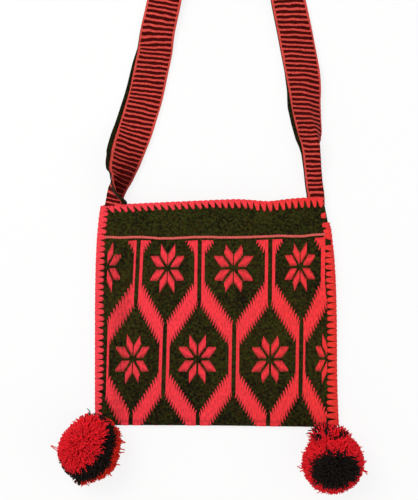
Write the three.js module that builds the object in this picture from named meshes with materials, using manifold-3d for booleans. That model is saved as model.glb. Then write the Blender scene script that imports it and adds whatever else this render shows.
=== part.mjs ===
// Woven shoulder bag, lying on its back. One length of patterned wool cloth is folded at the bottom
// and joined at the sides by yarn edging. A striped strap leaves the two mouth corners, and a yarn
// pompom is tied to each bottom corner. Millimetres; the origin is the middle of the back, where it
// rests. +X runs across the bag, +Y towards the mouth and the strap, +Z up out of the front.
import * as THREE from "three";
import { mergeVertices } from "three/addons/utils/BufferGeometryUtils.js";
import Module from "manifold-3d";

const wasm = await Module();
wasm.setup();

// Room between neighbouring pieces that touch on the real bag
const CLEARANCE = 0.3;

// Cloth: plan size, wall and the pillow form that it keeps when empty
const CLOTH_WALL = 2.2;
const CLOTH_HEIGHT = 241.9;
const FOLD_Y = -120;
const HALF_WIDTH_BOTTOM = 131.2;
const NARROWING_LEFT = 6;
const NARROWING_RIGHT = 13.5;
const TAPER_POWER = 4;
const MOUTH_TILT = 5.5;
const MOUTH_DIP = 5;
const MOUTH_DIP_AT = 0.5;
const MOUTH_DIP_SPREAD = 0.2;
const MOUTH_RISE_POWER = 8;
const CLOTH_COLUMNS = 18;
const SEAM_GAP = 0.4;
const SEAM_LIFT = 4.6;
const MOUTH_LIFT = 2.9;
const CROWN = 16;
const FOLD_GAP = 4;
const MOUTH_SHARE = 0.9;
const FLAT_SHARE = 0.7;
const SIDE_POWER = 2.6;
const FULL_AT = 0.5;
const MOUTH_RISE_FROM = 0.86;

// Hem at the mouth: a turned band whose lower edge is marked by a yarn cord
const HEM_DEPTH = 39.4;
const HEM_STEP = 0.8;
const HEM_SLOPE = 0.6;
const HEM_FULL_TO = 0.8;
const HEM_PRESSED_AT = 0.92;
const HEM_CORD = 2.6;

// Yarn edging: a blanket stitch round the sides and the mouth
const YARN = 2.2;
const STITCH_REACH = 6.6;
const STITCH_BASE = 1.6;
const STITCH_SHARE = 0.58;
const SIDE_STITCH_PITCH = 6.6;
const MOUTH_STITCH_PITCH = 7;
const MOUTH_INSIDE_REACH = 2;
const MOUTH_INSIDE_LEAST = 0.4;

// Brocade pattern: chains of long hexagons and bars, set half a repeat apart, with a star in each cell
const CHAIN_COUNT = 8;
const CHAIN_PITCH = 39.3;
const SELVEDGE_CROWDING = 0.0098;
const ROW_PITCH = 99;
const FIRST_ROW_BELOW_HEM = 34.1;
const HEXAGON_HALF = 0.79;
const BAR_HALF = 0.068;
const SHOULDER = 15.8;
const TIP = 56.9;
const FLOAT_HEIGHT = 0.5;
const BAND_STEP = 9;
const PATTERN_BOTTOM = 3;

// Lean of the brocade on the real cloth: its chains tilt to the right going up, most of all at the
// left, and all of them lie a little to the right of an even spacing
const LEAN_LEVEL = -31;
const LEAN_HEIGHT = 110;
const LEAN_ALL = 1.3;
const LEAN_LEFT = 4;
const LEAN_LEFT_FROM = -17.6;
const LEAN_LEFT_OVER = 75;
const LEAN_EDGE_FROM = -96;
const LEAN_EDGE_OVER = 26;
const LEAN_EDGE_LOSS = 0.55;
const SPREAD = 1.65;
const SPREAD_AT = 6.6;
const SPREAD_OVER = 82;
const SPREAD_MOST = 1.2;

// Star: eight lozenge petals round a small hub, sized across at the middle chains
const STAR_HALF_WIDTH = 19.6;
const STAR_HALF_HEIGHT = 25.5;
const STAR_SHOULDER_X = 9.4;
const STAR_SHOULDER_Y = 13.4;
const STAR_NOTCH_X = 13;
const STAR_NOTCH_Y = 12.4;
const STAR_HUB = 2.6;
const STAR_HUB_HALF = 0.8;
const STAR_SLIT = 1.1;

// Strap: a flat band with a red ladder of stripes and edges, folded in half at its sewn ends
const STRAP_WIDTH = 38;
const STRAP_WALL = 2.4;
const STRIPE_PITCH = 5.9;
const STRIPE_SHARE = 0.5;
const STRIPE_START = 0.2;
const STRIPE_ROOM = 0.6;
const RAIL_INSET = 1.5;
const RAIL_WIDTH = 2.4;
const FOLD_FLAP = 19.4;
const FOLD_BEND = 5.8;
const STRIPED_TO_FOLD = 4;
const STATION_LENGTH = 20;
const STATION_TURN = 3.4;
const STATION_FOLD = 15;
const LINING_WALL = 0.8;
const LINING_ROOM = 0.6;
const LINING_FROM = 1;
const LINING_TO = 29;

// Inner edge of the strap from the left root round the bight to the right root: place in plan, with up
// counted from the middle of the mouth, how far the band has turned on edge, the lift of its lower face
// above the table, the fold of its outer half, over the top at the left root and under at the right
// one, and the two edges of the lining across the band. Millimetres and degrees.
const STRAP_ROUTE = [
  { x: -102.9, up: -1.9, turn: 0, lift: 6.2, fold: 164, lining: [36.6, 43.2] },
  { x: -100.9, up: 6.1, turn: 0, lift: 6, fold: 122, lining: [36.6, 43.8] },
  { x: -97, up: 14.1, turn: 0, lift: 5.6, fold: 93, lining: [36.6, 44.2] },
  { x: -93.4, up: 19.9, turn: 0, lift: 5.2, fold: 74, lining: [36.6, 44.4] },
  { x: -88.3, up: 30.4, turn: 0, lift: 4.6, fold: 55, lining: [36, 44] },
  { x: -84.3, up: 38.5, turn: 0, lift: 4.2, fold: 42, lining: [34, 43.6] },
  { x: -79.5, up: 50.6, turn: 0, lift: 3.6, fold: 30, lining: [28, 43.2] },
  { x: -71.6, up: 70.9, turn: 0, lift: 2.8, fold: 10, lining: [24, 42.8] },
  { x: -65.3, up: 91.1, turn: 0, lift: 2.3, fold: 3, lining: [23, 42.6] },
  { x: -59.4, up: 111.3, turn: 0, lift: 1.9, fold: 0, lining: [1.6, 42.4] },
  { x: -52.4, up: 144.1, turn: 0, lift: 1.9, fold: 0, lining: [1.6, 41.2] },
  { x: -48.4, up: 163.4, turn: 2, lift: 1.9, fold: 0, lining: [1.6, 39.4] },
  { x: -45.8, up: 184.1, turn: 5, lift: 1.9, fold: 0, lining: [1.6, 38.8] },
  { x: -38.5, up: 219.1, turn: 10, lift: 1.9, fold: 0, lining: [1.6, 38.4] },
  { x: -30, up: 269.1, turn: 32, lift: 1.9, fold: 0, lining: [1.6, 37.4] },
  { x: -22, up: 308.1, turn: 58, lift: 1.9, fold: 0, lining: [1.6, 36.4] },
  { x: -8, up: 337.1, turn: 80, lift: 1.7, fold: 0, lining: [1.6, 36.4] },
  { x: 12, up: 348.1, turn: 87, lift: 1.7, fold: 0, lining: [1.6, 36.4] },
  { x: 32, up: 337.1, turn: 80, lift: 1.7, fold: 0, lining: [1.6, 36.4] },
  { x: 46, up: 308.1, turn: 58, lift: 1.9, fold: 0, lining: [1.6, 36.4] },
  { x: 53, up: 269.1, turn: 32, lift: 1.9, fold: 0, lining: [0.6, 36.4] },
  { x: 61.6, up: 219.1, turn: 10, lift: 1.9, fold: 0, lining: [-0.5, 36.4] },
  { x: 68.9, up: 182.7, turn: 3, lift: 2.6, fold: 0, lining: [-0.6, 36.4] },
  { x: 76.2, up: 144.1, turn: -6, lift: 5, fold: -12, lining: [-0.8, 14] },
  { x: 80.6, up: 122.3, turn: -24, lift: 6.6, fold: -46, lining: [-3.2, 13] },
  { x: 83.8, up: 104.8, turn: -36, lift: 7.4, fold: -72, lining: [-7, 12] },
  { x: 87.6, up: 87.2, turn: -40, lift: 8, fold: -88, lining: [-7.4, 11.5] },
  { x: 92.3, up: 69.7, turn: -34, lift: 8.8, fold: -100, lining: [-6.6, 11.5] },
  { x: 94.2, up: 62.1, turn: -28, lift: 12.2, fold: -110, lining: [-5, 11.5] },
  { x: 95.5, up: 52.1, turn: -14, lift: 14.6, fold: -142, lining: [-2.4, 11.5] },
  { x: 97.4, up: 34.6, turn: -4, lift: 9.8, fold: -170, lining: [-1.1, 11.5] },
  { x: 99.5, up: 17, turn: 0, lift: 8.2, fold: -177, lining: [-1.1, 11.5] },
  { x: 100.7, up: 8.3, turn: 0, lift: 8.6, fold: -177, lining: [-1.1, 11.5] },
];

// Pompoms: cut yarn bound at the middle, in zones of colour round an axis, with a flat spot below
const POMPOM_RADIUS = 34;
const POMPOM_FLAT = 1.5;
const TIE_DIAMETER = 3;
const ZONE_ROOT = 5;
const POMPOM_SEGMENTS = 20;
const ZONE_STEP = 13;
const LEFT_POMPOM = { x: -HALF_WIDTH_BOTTOM - 8.3, y: FOLD_Y - 31, axis: [-0.45, 0.42, 0.79] };
const RIGHT_POMPOM = { x: HALF_WIDTH_BOTTOM - 1.8, y: FOLD_Y - 43.4, axis: [0.1, -0.3, 0.95] };
const LEFT_ZONES = [66, 95, 180];
const RIGHT_ZONES = [46, 180];
const TIE_INSET = 2;
const KNOT_DIAMETER = 4.4;

// Materials
const RED = 0xd23c3e;
const PALE_RED = 0xd84a4e;
const POMPOM_RED = 0xc11c22;
const OLIVE_BLACK = 0x2a2a13;
const STRAP_BLACK = 0x2c100a;
const POMPOM_BLACK = 0x14100a;
const wool = (colour) => new THREE.MeshStandardMaterial({ color: colour, roughness: 0.95, metalness: 0 });

const lerp = THREE.MathUtils.lerp;
const smooth = (t) => THREE.MathUtils.smoothstep(t, 0, 1);
const steps = (count) => Array.from({ length: count + 1 }, (_, i) => i / count);

// A closed plate made of the cells of a grid that are present. place(a, b, top) gives the corner at
// grid values a and b on the top or the underside, and walls close every edge of the plate.
function cellPlate(across, along, place, present = () => true) {
  const points = [];
  const triangles = [];
  const index = new Map();
  const corner = (i, j, top) => {
    const key = `${i},${j},${top}`;
    if (!index.has(key)) {
      index.set(key, points.length / 3);
      points.push(...place(across[i], along[j], top).toArray());
    }
    return index.get(key);
  };
  const quad = (a, b, c, d) => triangles.push(a, b, c, a, c, d);
  const filled = (i, j) =>
    i >= 0 && j >= 0 && i < across.length - 1 && j < along.length - 1 && present(i, j);
  for (let i = 0; i < across.length - 1; i++) {
    for (let j = 0; j < along.length - 1; j++) {
      if (!filled(i, j)) continue;
      const ring = [[i, j], [i + 1, j], [i + 1, j + 1], [i, j + 1]];
      const beyond = [[i, j - 1], [i + 1, j], [i, j + 1], [i - 1, j]];
      quad(...ring.map(([p, q]) => corner(p, q, true)));
      quad(...ring.map(([p, q]) => corner(p, q, false)).reverse());
      ring.forEach(([p, q], side) => {
        if (filled(...beyond[side])) return;
        const [r, s] = ring[(side + 1) % ring.length];
        quad(corner(p, q, false), corner(r, s, false), corner(r, s, true), corner(p, q, true));
      });
    }
  }
  return facingOut(points, triangles);
}

// A closed plate over a flat outline. place(x, y, top) lifts each outline point to its surface.
function outlinePlate(outline, place) {
  const count = outline.length;
  const points = [];
  for (const top of [true, false]) {
    for (const { x, y } of outline) points.push(...place(x, y, top).toArray());
  }
  const triangles = [];
  for (const [a, b, c] of THREE.ShapeUtils.triangulateShape(outline, [])) {
    triangles.push(a, b, c, count + a, count + c, count + b);
  }
  for (let i = 0; i < count; i++) {
    const next = (i + 1) % count;
    triangles.push(i, count + i, count + next, i, count + next, next);
  }
  return facingOut(points, triangles);
}

// Indexed geometry with its faces turned outwards
function facingOut(points, triangles) {
  const corners = [0, 1, 2].map(() => new THREE.Vector3());
  let volume = 0;
  for (let i = 0; i < triangles.length; i += 3) {
    corners.forEach((v, k) => v.fromArray(points, 3 * triangles[i + k]));
    volume += corners[0].dot(corners[1].clone().cross(corners[2]));
  }
  const turned = volume < 0 ? triangles.slice().reverse() : triangles;
  const geometry = new THREE.BufferGeometry();
  geometry.setAttribute("position", new THREE.Float32BufferAttribute(points, 3));
  geometry.setIndex(turned);
  geometry.computeVertexNormals();
  return geometry;
}

function solidOf(geometry) {
  const bare = new THREE.BufferGeometry();
  bare.setAttribute("position", geometry.getAttribute("position"));
  bare.setIndex(geometry.index);
  const merged = mergeVertices(bare, 1e-4);
  const vertProperties = new Float32Array(merged.getAttribute("position").array);
  const triVerts = new Uint32Array(merged.index.array);
  return new wasm.Manifold(new wasm.Mesh({ numProp: 3, vertProperties, triVerts }));
}

function geometryOf(solid) {
  const mesh = solid.getMesh();
  const geometry = new THREE.BufferGeometry();
  geometry.setAttribute("position", new THREE.Float32BufferAttribute(mesh.vertProperties, mesh.numProp));
  geometry.setIndex(new THREE.Uint32BufferAttribute(mesh.triVerts, 1));
  geometry.computeVertexNormals();
  return geometry;
}

const bag = new THREE.Group();

function add(name, geometry, colour) {
  const mesh = new THREE.Mesh(geometry, wool(colour));
  mesh.name = name;
  bag.add(mesh);
}

// Cloth surface. u runs from -1 at the left selvedge to 1 at the right, v from 0 at the bottom fold
// to 1 at the mouth.
const narrowing = (u) => (u < 0 ? NARROWING_LEFT : NARROWING_RIGHT);
const halfWidth = (u, v) => HALF_WIDTH_BOTTOM - narrowing(u) * v ** TAPER_POWER;
const clothX = (u, v) => u * halfWidth(u, v);

// Columns of the cloth, closer together towards the selvedges
const columns = steps(CLOTH_COLUMNS).map((t) => {
  const s = 2 * t - 1;
  return s * (1.25 - 0.25 * s * s);
});

// Height of the mouth's edge: it slopes and dips a little, straight from column to column
function mouthRise(u) {
  const rise = (c) => MOUTH_TILT * c - MOUTH_DIP * Math.exp(-(((c - MOUTH_DIP_AT) / MOUTH_DIP_SPREAD) ** 2));
  const i = Math.min(columns.length - 2, Math.max(0, columns.findLastIndex((c) => c <= u)));
  return lerp(rise(columns[i]), rise(columns[i + 1]), (u - columns[i]) / (columns[i + 1] - columns[i]));
}

const clothY = (u, v) => FOLD_Y + v * CLOTH_HEIGHT + mouthRise(u) * v ** MOUTH_RISE_POWER;
const sideShare = (u) => 1 - Math.abs(u) ** SIDE_POWER;

function crownShare(v) {
  const atFold = FOLD_GAP / CROWN;
  if (v < FULL_AT) return lerp(atFold, 1, Math.sin((Math.PI / 2) * (v / FULL_AT)));
  return lerp(1, MOUTH_SHARE, smooth((v - FULL_AT) / (1 - FULL_AT)));
}

const gapAt = (u, v) => SEAM_GAP + CROWN * crownShare(v) * sideShare(u);

function backZ(u, v) {
  const side = smooth((Math.abs(u) - FLAT_SHARE) / (1 - FLAT_SHARE));
  const mouth = smooth((v - MOUTH_RISE_FROM) / (1 - MOUTH_RISE_FROM));
  return lerp(MOUTH_LIFT * mouth, SEAM_LIFT, side);
}

const HEM_V = 1 - HEM_DEPTH / CLOTH_HEIGHT;

// The hem's extra layer is pressed flat where the side edging binds it
function hemRise(u, v) {
  const pressed = 1 - smooth((Math.abs(u) - HEM_FULL_TO) / (HEM_PRESSED_AT - HEM_FULL_TO));
  return HEM_STEP * pressed * THREE.MathUtils.clamp(((v - HEM_V) * CLOTH_HEIGHT) / HEM_SLOPE, 0, 1);
}

const frontInnerZ = (u, v) => backZ(u, v) + CLOTH_WALL + gapAt(u, v);
const frontZ = (u, v) => frontInnerZ(u, v) + CLOTH_WALL + hemRise(u, v);

// A point on the front at plan place x, y, raised above the cloth
function onFront(x, y, above) {
  let v = (y - FOLD_Y) / CLOTH_HEIGHT;
  let u = x / halfWidth(x, v);
  v -= (clothY(u, v) - y) / CLOTH_HEIGHT;
  u = x / halfWidth(x, v);
  return new THREE.Vector3(x, y, frontZ(u, v) + above);
}

function addCloth() {
  const hemEdge = HEM_V + HEM_SLOPE / CLOTH_HEIGHT;
  const frontRows = [1, 0.95, 0.9, hemEdge, HEM_V, 0.78, 0.7, 0.6, 0.5, 0.4, 0.3, 0.2, 0.12, 0.05, 0];
  const backRows = [0, 0.1, 0.3, 0.6, MOUTH_RISE_FROM, 0.9, 0.95, 1];
  const rows = [
    ...frontRows.map((v) => ({ face: "front", v })),
    ...steps(6).slice(1, -1).map((t) => ({ face: "fold", turn: Math.PI * t })),
    ...backRows.map((v) => ({ face: "back", v })),
  ];
  const place = (u, row, outer) => {
    if (row.face === "fold") {
      const half = gapAt(u, 0) / 2;
      const radius = outer ? half + CLOTH_WALL : half;
      const middle = backZ(u, 0) + CLOTH_WALL + half;
      const y = clothY(u, 0) - radius * Math.sin(row.turn);
      return new THREE.Vector3(clothX(u, 0), y, middle + radius * Math.cos(row.turn));
    }
    const { v } = row;
    const front = outer ? frontZ(u, v) : frontInnerZ(u, v);
    const back = backZ(u, v) + (outer ? 0 : CLOTH_WALL);
    return new THREE.Vector3(clothX(u, v), clothY(u, v), row.face === "front" ? front : back);
  };
  add("bag_cloth", cellPlate(columns, rows, place), OLIVE_BLACK);
}

// Grid values of a row of stitches from start to end: each stitch is one cell, each gap the next
function stitchGrid(start, end, pitch, length) {
  const count = Math.round(((end - start) * length) / pitch);
  const step = (end - start) / count;
  const grid = [];
  for (let k = 0; k < count; k++) {
    grid.push(start + k * step, start + (k + STITCH_SHARE) * step);
  }
  grid.push(end);
  return grid;
}

// Side edging: yarn that wraps both selvedges together, with its stitches on the front
function addSideEdging(name, side) {
  const along = stitchGrid(0, 1, SIDE_STITCH_PITCH, CLOTH_HEIGHT);
  const edge = ["front tip", "front base", "front edge", "back edge", "back base"];
  const place = (v, spot, top) => {
    const yarn = CLEARANCE + (top ? YARN : 0);
    const half = halfWidth(side, v);
    const inward = spot.endsWith("tip") ? STITCH_REACH : STITCH_BASE;
    const x = spot.endsWith("edge") ? half + yarn : half - inward;
    const u = side * Math.min(1, x / half);
    const rise = spot.endsWith("edge") ? CLEARANCE : yarn;
    const z = spot.startsWith("front") ? frontZ(u, v) + rise : backZ(u, v) - rise;
    return new THREE.Vector3(side * x, clothY(u, v), z);
  };
  add(name, cellPlate(along, edge, place, (i, j) => j > 0 || i % 2 === 0), PALE_RED);
}

// Mouth edging: yarn over one lip of the mouth, with its stitches on the outside of the front lip. The
// yarn inside is pressed thin towards the corners, where the lips meet.
function addMouthEdging(name, front) {
  const [left, right] = [-1, 1].map((u) => u * (1 - (STITCH_REACH + 2 * CLEARANCE) / halfWidth(u, 1)));
  const along = stitchGrid(left, right, front ? MOUTH_STITCH_PITCH : 2 * MOUTH_STITCH_PITCH, halfWidth(0, 1));
  const edge = ["outside tip", "outside base", "outside edge", "inside edge", "inside tip"];
  const reach = { tip: STITCH_REACH, base: STITCH_BASE };
  const out = front ? 1 : -1;
  const place = (u, spot, top) => {
    const yarn = CLEARANCE + (top ? YARN : 0);
    const [face, part] = spot.split(" ");
    const inward = face === "inside" ? MOUTH_INSIDE_REACH : reach[part];
    const v = part === "edge" ? 1 : 1 - inward / CLOTH_HEIGHT;
    const y = clothY(u, v) + (part === "edge" ? yarn : 0);
    const outer = front ? frontZ(u, v) : backZ(u, v);
    const inner = front ? frontInnerZ(u, v) : backZ(u, v) + CLOTH_WALL;
    const room = Math.max(MOUTH_INSIDE_LEAST, gapAt(u, v) / 2 - 2 * CLEARANCE);
    const inside = CLEARANCE + (top ? Math.min(YARN, room) : 0);
    const rise = face === "outside" ? yarn : inside;
    const lift = part === "edge" ? CLEARANCE : rise;
    const z = face === "outside" ? outer + out * lift : inner - out * lift;
    return new THREE.Vector3(clothX(u, v), y, z);
  };
  add(name, cellPlate(along, edge, place, (i, j) => j > 0 || (front && i % 2 === 0)), PALE_RED);
}

// A round cord or tie along points
function cordGeometry(points, diameter, count) {
  const ring = new THREE.Shape();
  ring.absarc(0, 0, diameter / 2, 0, 2 * Math.PI);
  return new THREE.ExtrudeGeometry(ring, {
    steps: count,
    curveSegments: 4,
    bevelEnabled: false,
    extrudePath: new THREE.CatmullRomCurve3(points),
  });
}

function addHemCord() {
  const below = CLEARANCE + HEM_CORD / 2;
  const [left, right] = [-1, 1].map((u) => u * (1 - (STITCH_REACH + 2 * CLEARANCE) / halfWidth(u, HEM_V)));
  const points = steps(16).map((t) => {
    const u = lerp(left, right, t);
    const v = HEM_V;
    const z = frontZ(u, v) + CLEARANCE + HEM_CORD / 2;
    return new THREE.Vector3(clothX(u, v), clothY(u, v) - below, z);
  });
  add("hem_cord", cordGeometry(points, HEM_CORD, points.length - 1), RED);
}

// Brocade. A chain's place is counted from the middle; its cells crowd towards the selvedges.
const hemY = (u) => clothY(u, HEM_V) - HEM_CORD - 2 * CLEARANCE;
const chainX = (s) => s * CHAIN_PITCH * (1 - SELVEDGE_CROWDING * s * s);
const chainPitch = (s) => chainX(s + 0.5) - chainX(s - 0.5);
const chainPlace = (k) => k - (CHAIN_COUNT - 1) / 2;
const rowY = (row) => clothY(0, HEM_V) - FIRST_ROW_BELOW_HEM - row * ROW_PITCH;
const bandTop = (x) => hemY(x / halfWidth(x, HEM_V)) - CLEARANCE;
const bandBottom = clothY(0, 0) + PATTERN_BOTTOM;
const bandLimit = (x, y) => halfWidth(x, (y - FOLD_Y) / CLOTH_HEIGHT) - STITCH_REACH - 3 * CLEARANCE;

// How far the pattern lies to the right of its even place
function lean(x, y) {
  const edge = 1 - LEAN_EDGE_LOSS * smooth((LEAN_EDGE_FROM - x) / LEAN_EDGE_OVER);
  const left = smooth((LEAN_LEFT_FROM - x) / LEAN_LEFT_OVER) * edge;
  const spread = SPREAD * Math.min(SPREAD_MOST, Math.abs(x - SPREAD_AT) / SPREAD_OVER);
  return ((LEAN_ALL + LEAN_LEFT * left) * (y - LEAN_LEVEL)) / LEAN_HEIGHT + spread;
}

// Half width of a chain at height y, in chain pitches: a hexagon on its own rows, a bar between them
function chainHalf(k, y) {
  const ownRow = k % 2 === 0 ? 0 : 1;
  const rowsDown = (rowY(ownRow) - y) / (2 * ROW_PITCH);
  const off = Math.abs(rowsDown - Math.round(rowsDown)) * 2 * ROW_PITCH;
  const taper = THREE.MathUtils.clamp((off - SHOULDER) / (TIP - SHOULDER), 0, 1);
  return lerp(HEXAGON_HALF, BAR_HALF, taper);
}

// Red band between two chains: it runs down the cloth, wide between hexagons and thin beside them
function addBrocadeBand(k) {
  const [left, right] = [chainPlace(k), chainPlace(k + 1)];
  const pitch = chainX(right) - chainX(left);
  const top = Math.min(...steps(4).map((t) => bandTop(lerp(chainX(left), chainX(right), t)))) - CLEARANCE;
  const turns = [];
  for (const row of [0, 1, 2]) {
    for (const off of [-TIP, -SHOULDER, SHOULDER, TIP]) turns.push(rowY(row) + off);
  }
  const marks = [top, ...turns.filter((y) => y < top - 1 && y > bandBottom + 1), bandBottom];
  marks.sort((a, b) => b - a);
  const levels = [];
  marks.forEach((y, i) => {
    if (i > 0) {
      const parts = Math.ceil((marks[i - 1] - y) / BAND_STEP);
      for (let p = 1; p < parts; p++) levels.push(lerp(marks[i - 1], y, p / parts));
    }
    levels.push(y);
  });
  const place = (edge, y, above) => {
    const from = chainX(left) + chainHalf(k, y) * pitch;
    const to = chainX(right) - chainHalf(k + 1, y) * pitch;
    const even = edge === "left" ? from : to;
    const x = THREE.MathUtils.clamp(even + lean(even, y), -bandLimit(-1, y), bandLimit(1, y));
    return onFront(x, y, CLEARANCE + (above ? FLOAT_HEIGHT : 0));
  };
  add(`brocade_band_${k + 1}`, cellPlate(["left", "right"], levels, place), RED);
}

// Star outline: petals in order round the hub, each a lozenge with a slit on either side. half keeps
// the petals of one side only, where the selvedge covers the rest.
function starOutline(width, half) {
  const squeeze = width / STAR_HALF_WIDTH;
  const petals = [];
  const upright = { tip: [STAR_SHOULDER_X, STAR_HALF_HEIGHT], low: [0, STAR_NOTCH_Y] };
  const level = { tip: [STAR_HALF_WIDTH, STAR_SHOULDER_Y], low: [STAR_NOTCH_X, 0] };
  const shoulder = [STAR_SHOULDER_X, STAR_SHOULDER_Y];
  const quarter = [
    { first: level.low, tip: level.tip, last: shoulder },
    { first: shoulder, tip: upright.tip, last: upright.low },
  ];
  for (const [sx, sy] of [[1, 1], [-1, 1], [-1, -1], [1, -1]]) {
    const turned = quarter.map(({ first, tip, last }) =>
      [first, tip, last].map(([x, y]) => new THREE.Vector2(sx * x, sy * y)),
    );
    if (sx * sy < 0) turned.reverse().forEach((petal) => petal.reverse());
    if (half === 0 || half === sx) petals.push(...turned);
  }
  if (half > 0) petals.push(...petals.splice(0, 2));
  const outline = [];
  for (const [first, tip, last] of petals) {
    const middle = first.clone().add(last).normalize();
    const across = new THREE.Vector2(-middle.y, middle.x);
    const inset = (point, way) => {
      const side = Math.sign(across.dot(point) || way);
      return point.clone().addScaledVector(across, (-side * STAR_SLIT) / 2);
    };
    const hub = (way) =>
      middle.clone().multiplyScalar(STAR_HUB).addScaledVector(across, way * STAR_HUB_HALF);
    outline.push(hub(-1), inset(first, -1), tip.clone(), inset(last, 1), hub(1));
  }
  if (half !== 0) outline.push(new THREE.Vector2(half * 0.4, 0));
  return outline.map((p) => new THREE.Vector2(p.x * squeeze, p.y));
}

function addStar(row, k) {
  const s = chainPlace(k);
  const edge = k === 0 ? 1 : k === CHAIN_COUNT - 1 ? -1 : 0;
  const width = STAR_HALF_WIDTH * (chainPitch(s) / CHAIN_PITCH);
  const [cx, cy] = [chainX(s) + lean(chainX(s), rowY(row)), rowY(row)];
  const place = (x, y, top) => onFront(cx + x, cy + y, CLEARANCE + (top ? FLOAT_HEIGHT : 0));
  add(`brocade_star_${row + 1}_${k + 1}`, outlinePlate(starOutline(width, edge), place), RED);
}

// Strap surface. t runs along the route, a across the band from its inner edge to its outer edge.
const mouthY = clothY(0, 1);
const routeCurve = new THREE.CatmullRomCurve3(
  STRAP_ROUTE.map(({ x, up }) => new THREE.Vector3(x, mouthY + up, 0)),
);
const stateCurve = new THREE.CatmullRomCurve3(
  STRAP_ROUTE.map(({ turn, lift, fold }) => new THREE.Vector3(turn, lift, fold)),
);
const liningCurve = new THREE.CatmullRomCurve3(
  STRAP_ROUTE.map(({ lining: [inner, outer] }) => new THREE.Vector3(inner, outer, 0)),
);
routeCurve.arcLengthDivisions = 20 * STRAP_ROUTE.length;
const foldStart = STRAP_WIDTH - FOLD_FLAP - FOLD_BEND / 2;

function strapFrame(t) {
  const state = stateCurve.getPoint(t);
  const turn = THREE.MathUtils.degToRad(state.x);
  const forward = routeCurve.getTangent(t).normalize();
  const outward = new THREE.Vector3(-forward.y, forward.x, 0);
  const across = outward.multiplyScalar(Math.cos(turn)).add(new THREE.Vector3(0, 0, -Math.sin(turn)));
  const normal = forward.clone().cross(across);
  const origin = routeCurve.getPoint(t);
  origin.z = state.y + (STRAP_WALL / 2) * Math.cos(turn) + STRAP_WIDTH * Math.max(0, Math.sin(turn));
  return { origin, across, normal, fold: THREE.MathUtils.degToRad(state.z) };
}

// Point of the folded cross-section: straight, then a round bend, then the flap
function strapPoint(frame, a, above) {
  const inBend = THREE.MathUtils.clamp((a - foldStart) / FOLD_BEND, 0, 1);
  const angle = frame.fold * inBend;
  const flat = Math.min(a, foldStart);
  const rest = Math.max(0, a - foldStart - FOLD_BEND);
  let along = flat + FOLD_BEND * inBend;
  let up = 0;
  if (Math.abs(frame.fold) > 1e-3) {
    const radius = FOLD_BEND / frame.fold;
    along = flat + radius * Math.sin(angle);
    up = radius * (1 - Math.cos(angle));
  }
  along += rest * Math.cos(angle) - above * Math.sin(angle);
  up += rest * Math.sin(angle) + above * Math.cos(angle);
  return frame.origin.clone().addScaledVector(frame.across, along).addScaledVector(frame.normal, up);
}

const strapLength = routeCurve.getLength();
const stripeCount = Math.round(strapLength / STRIPE_PITCH);

// Curve values of the band's stations: closer together where the band twists or folds
function strapStations(from = 0, to = STRAP_ROUTE.length - 1) {
  const last = STRAP_ROUTE.length - 1;
  const stations = [from / last];
  for (let i = from; i < to; i++) {
    const [here, next] = [STRAP_ROUTE[i], STRAP_ROUTE[i + 1]];
    const length = Math.hypot(next.x - here.x, next.up - here.up) / STATION_LENGTH;
    const turn = Math.abs(next.turn - here.turn) / STATION_TURN;
    const fold = Math.abs(next.fold - here.fold) / STATION_FOLD;
    const parts = Math.ceil(Math.max(length, turn, fold));
    for (let p = 1; p <= parts; p++) stations.push((i + p / parts) / last);
  }
  return stations;
}

function addStrapBand() {
  const across = [0, foldStart, foldStart + FOLD_BEND / 2, foldStart + FOLD_BEND, STRAP_WIDTH];
  const place = (a, t, top) => strapPoint(strapFrame(t), a, ((top ? 1 : -1) * STRAP_WALL) / 2);
  add("strap_band", cellPlate(across, strapStations(), place), STRAP_BLACK);
}

// Plain tape behind the band. It shows along the left edge of both arms and ends in their folds.
function addStrapLining() {
  const place = (share, t, top) => {
    const { x: inner, y: outer } = liningCurve.getPoint(t);
    const below = STRAP_WALL / 2 + LINING_ROOM + (top ? 0 : LINING_WALL);
    return strapPoint(strapFrame(t), lerp(inner, outer, share), -below);
  };
  add("strap_lining", cellPlate([0, 0.5, 1], strapStations(LINING_FROM, LINING_TO), place), OLIVE_BLACK);
}

// Red ladder on the strap: a rail along each edge and a stripe across at every pitch. Where the band
// is folded, the outer rail is under the fold and the stripes stop at the bend.
function addStrapStripes() {
  const along = [];
  for (let k = 0; k < stripeCount; k++) {
    const ends = [k + STRIPE_START, k + STRIPE_START + STRIPE_SHARE];
    along.push(...ends.map((end) => routeCurve.getUtoTmapping(end / stripeCount)));
  }
  const folded = (t) => Math.abs(strapFrame(t).fold) > THREE.MathUtils.degToRad(STRIPED_TO_FOLD);
  const inner = [RAIL_INSET, RAIL_INSET + RAIL_WIDTH];
  const rails = [...inner, ...inner.map((a) => STRAP_WIDTH - a).reverse()];
  const place = (mark, t, top) => {
    const lastFlat = foldStart - CLEARANCE;
    const a = folded(t) ? Math.min(rails[mark], lastFlat - (3 - mark) * CLEARANCE) : rails[mark];
    return strapPoint(strapFrame(t), a, STRAP_WALL / 2 + STRIPE_ROOM + (top ? FLOAT_HEIGHT : 0));
  };
  const open = (j) => !folded(along[j]) && !folded(along[j + 1]);
  const present = (i, j) => {
    if (i === 0) return true;
    if (i === 1) return j % 2 === 0;
    return j % 2 === 0 ? open(j) : open(j - 1) && open(j + 1);
  };
  add("strap_stripes", cellPlate([0, 1, 2, 3], along, place, present), RED);
}

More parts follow.
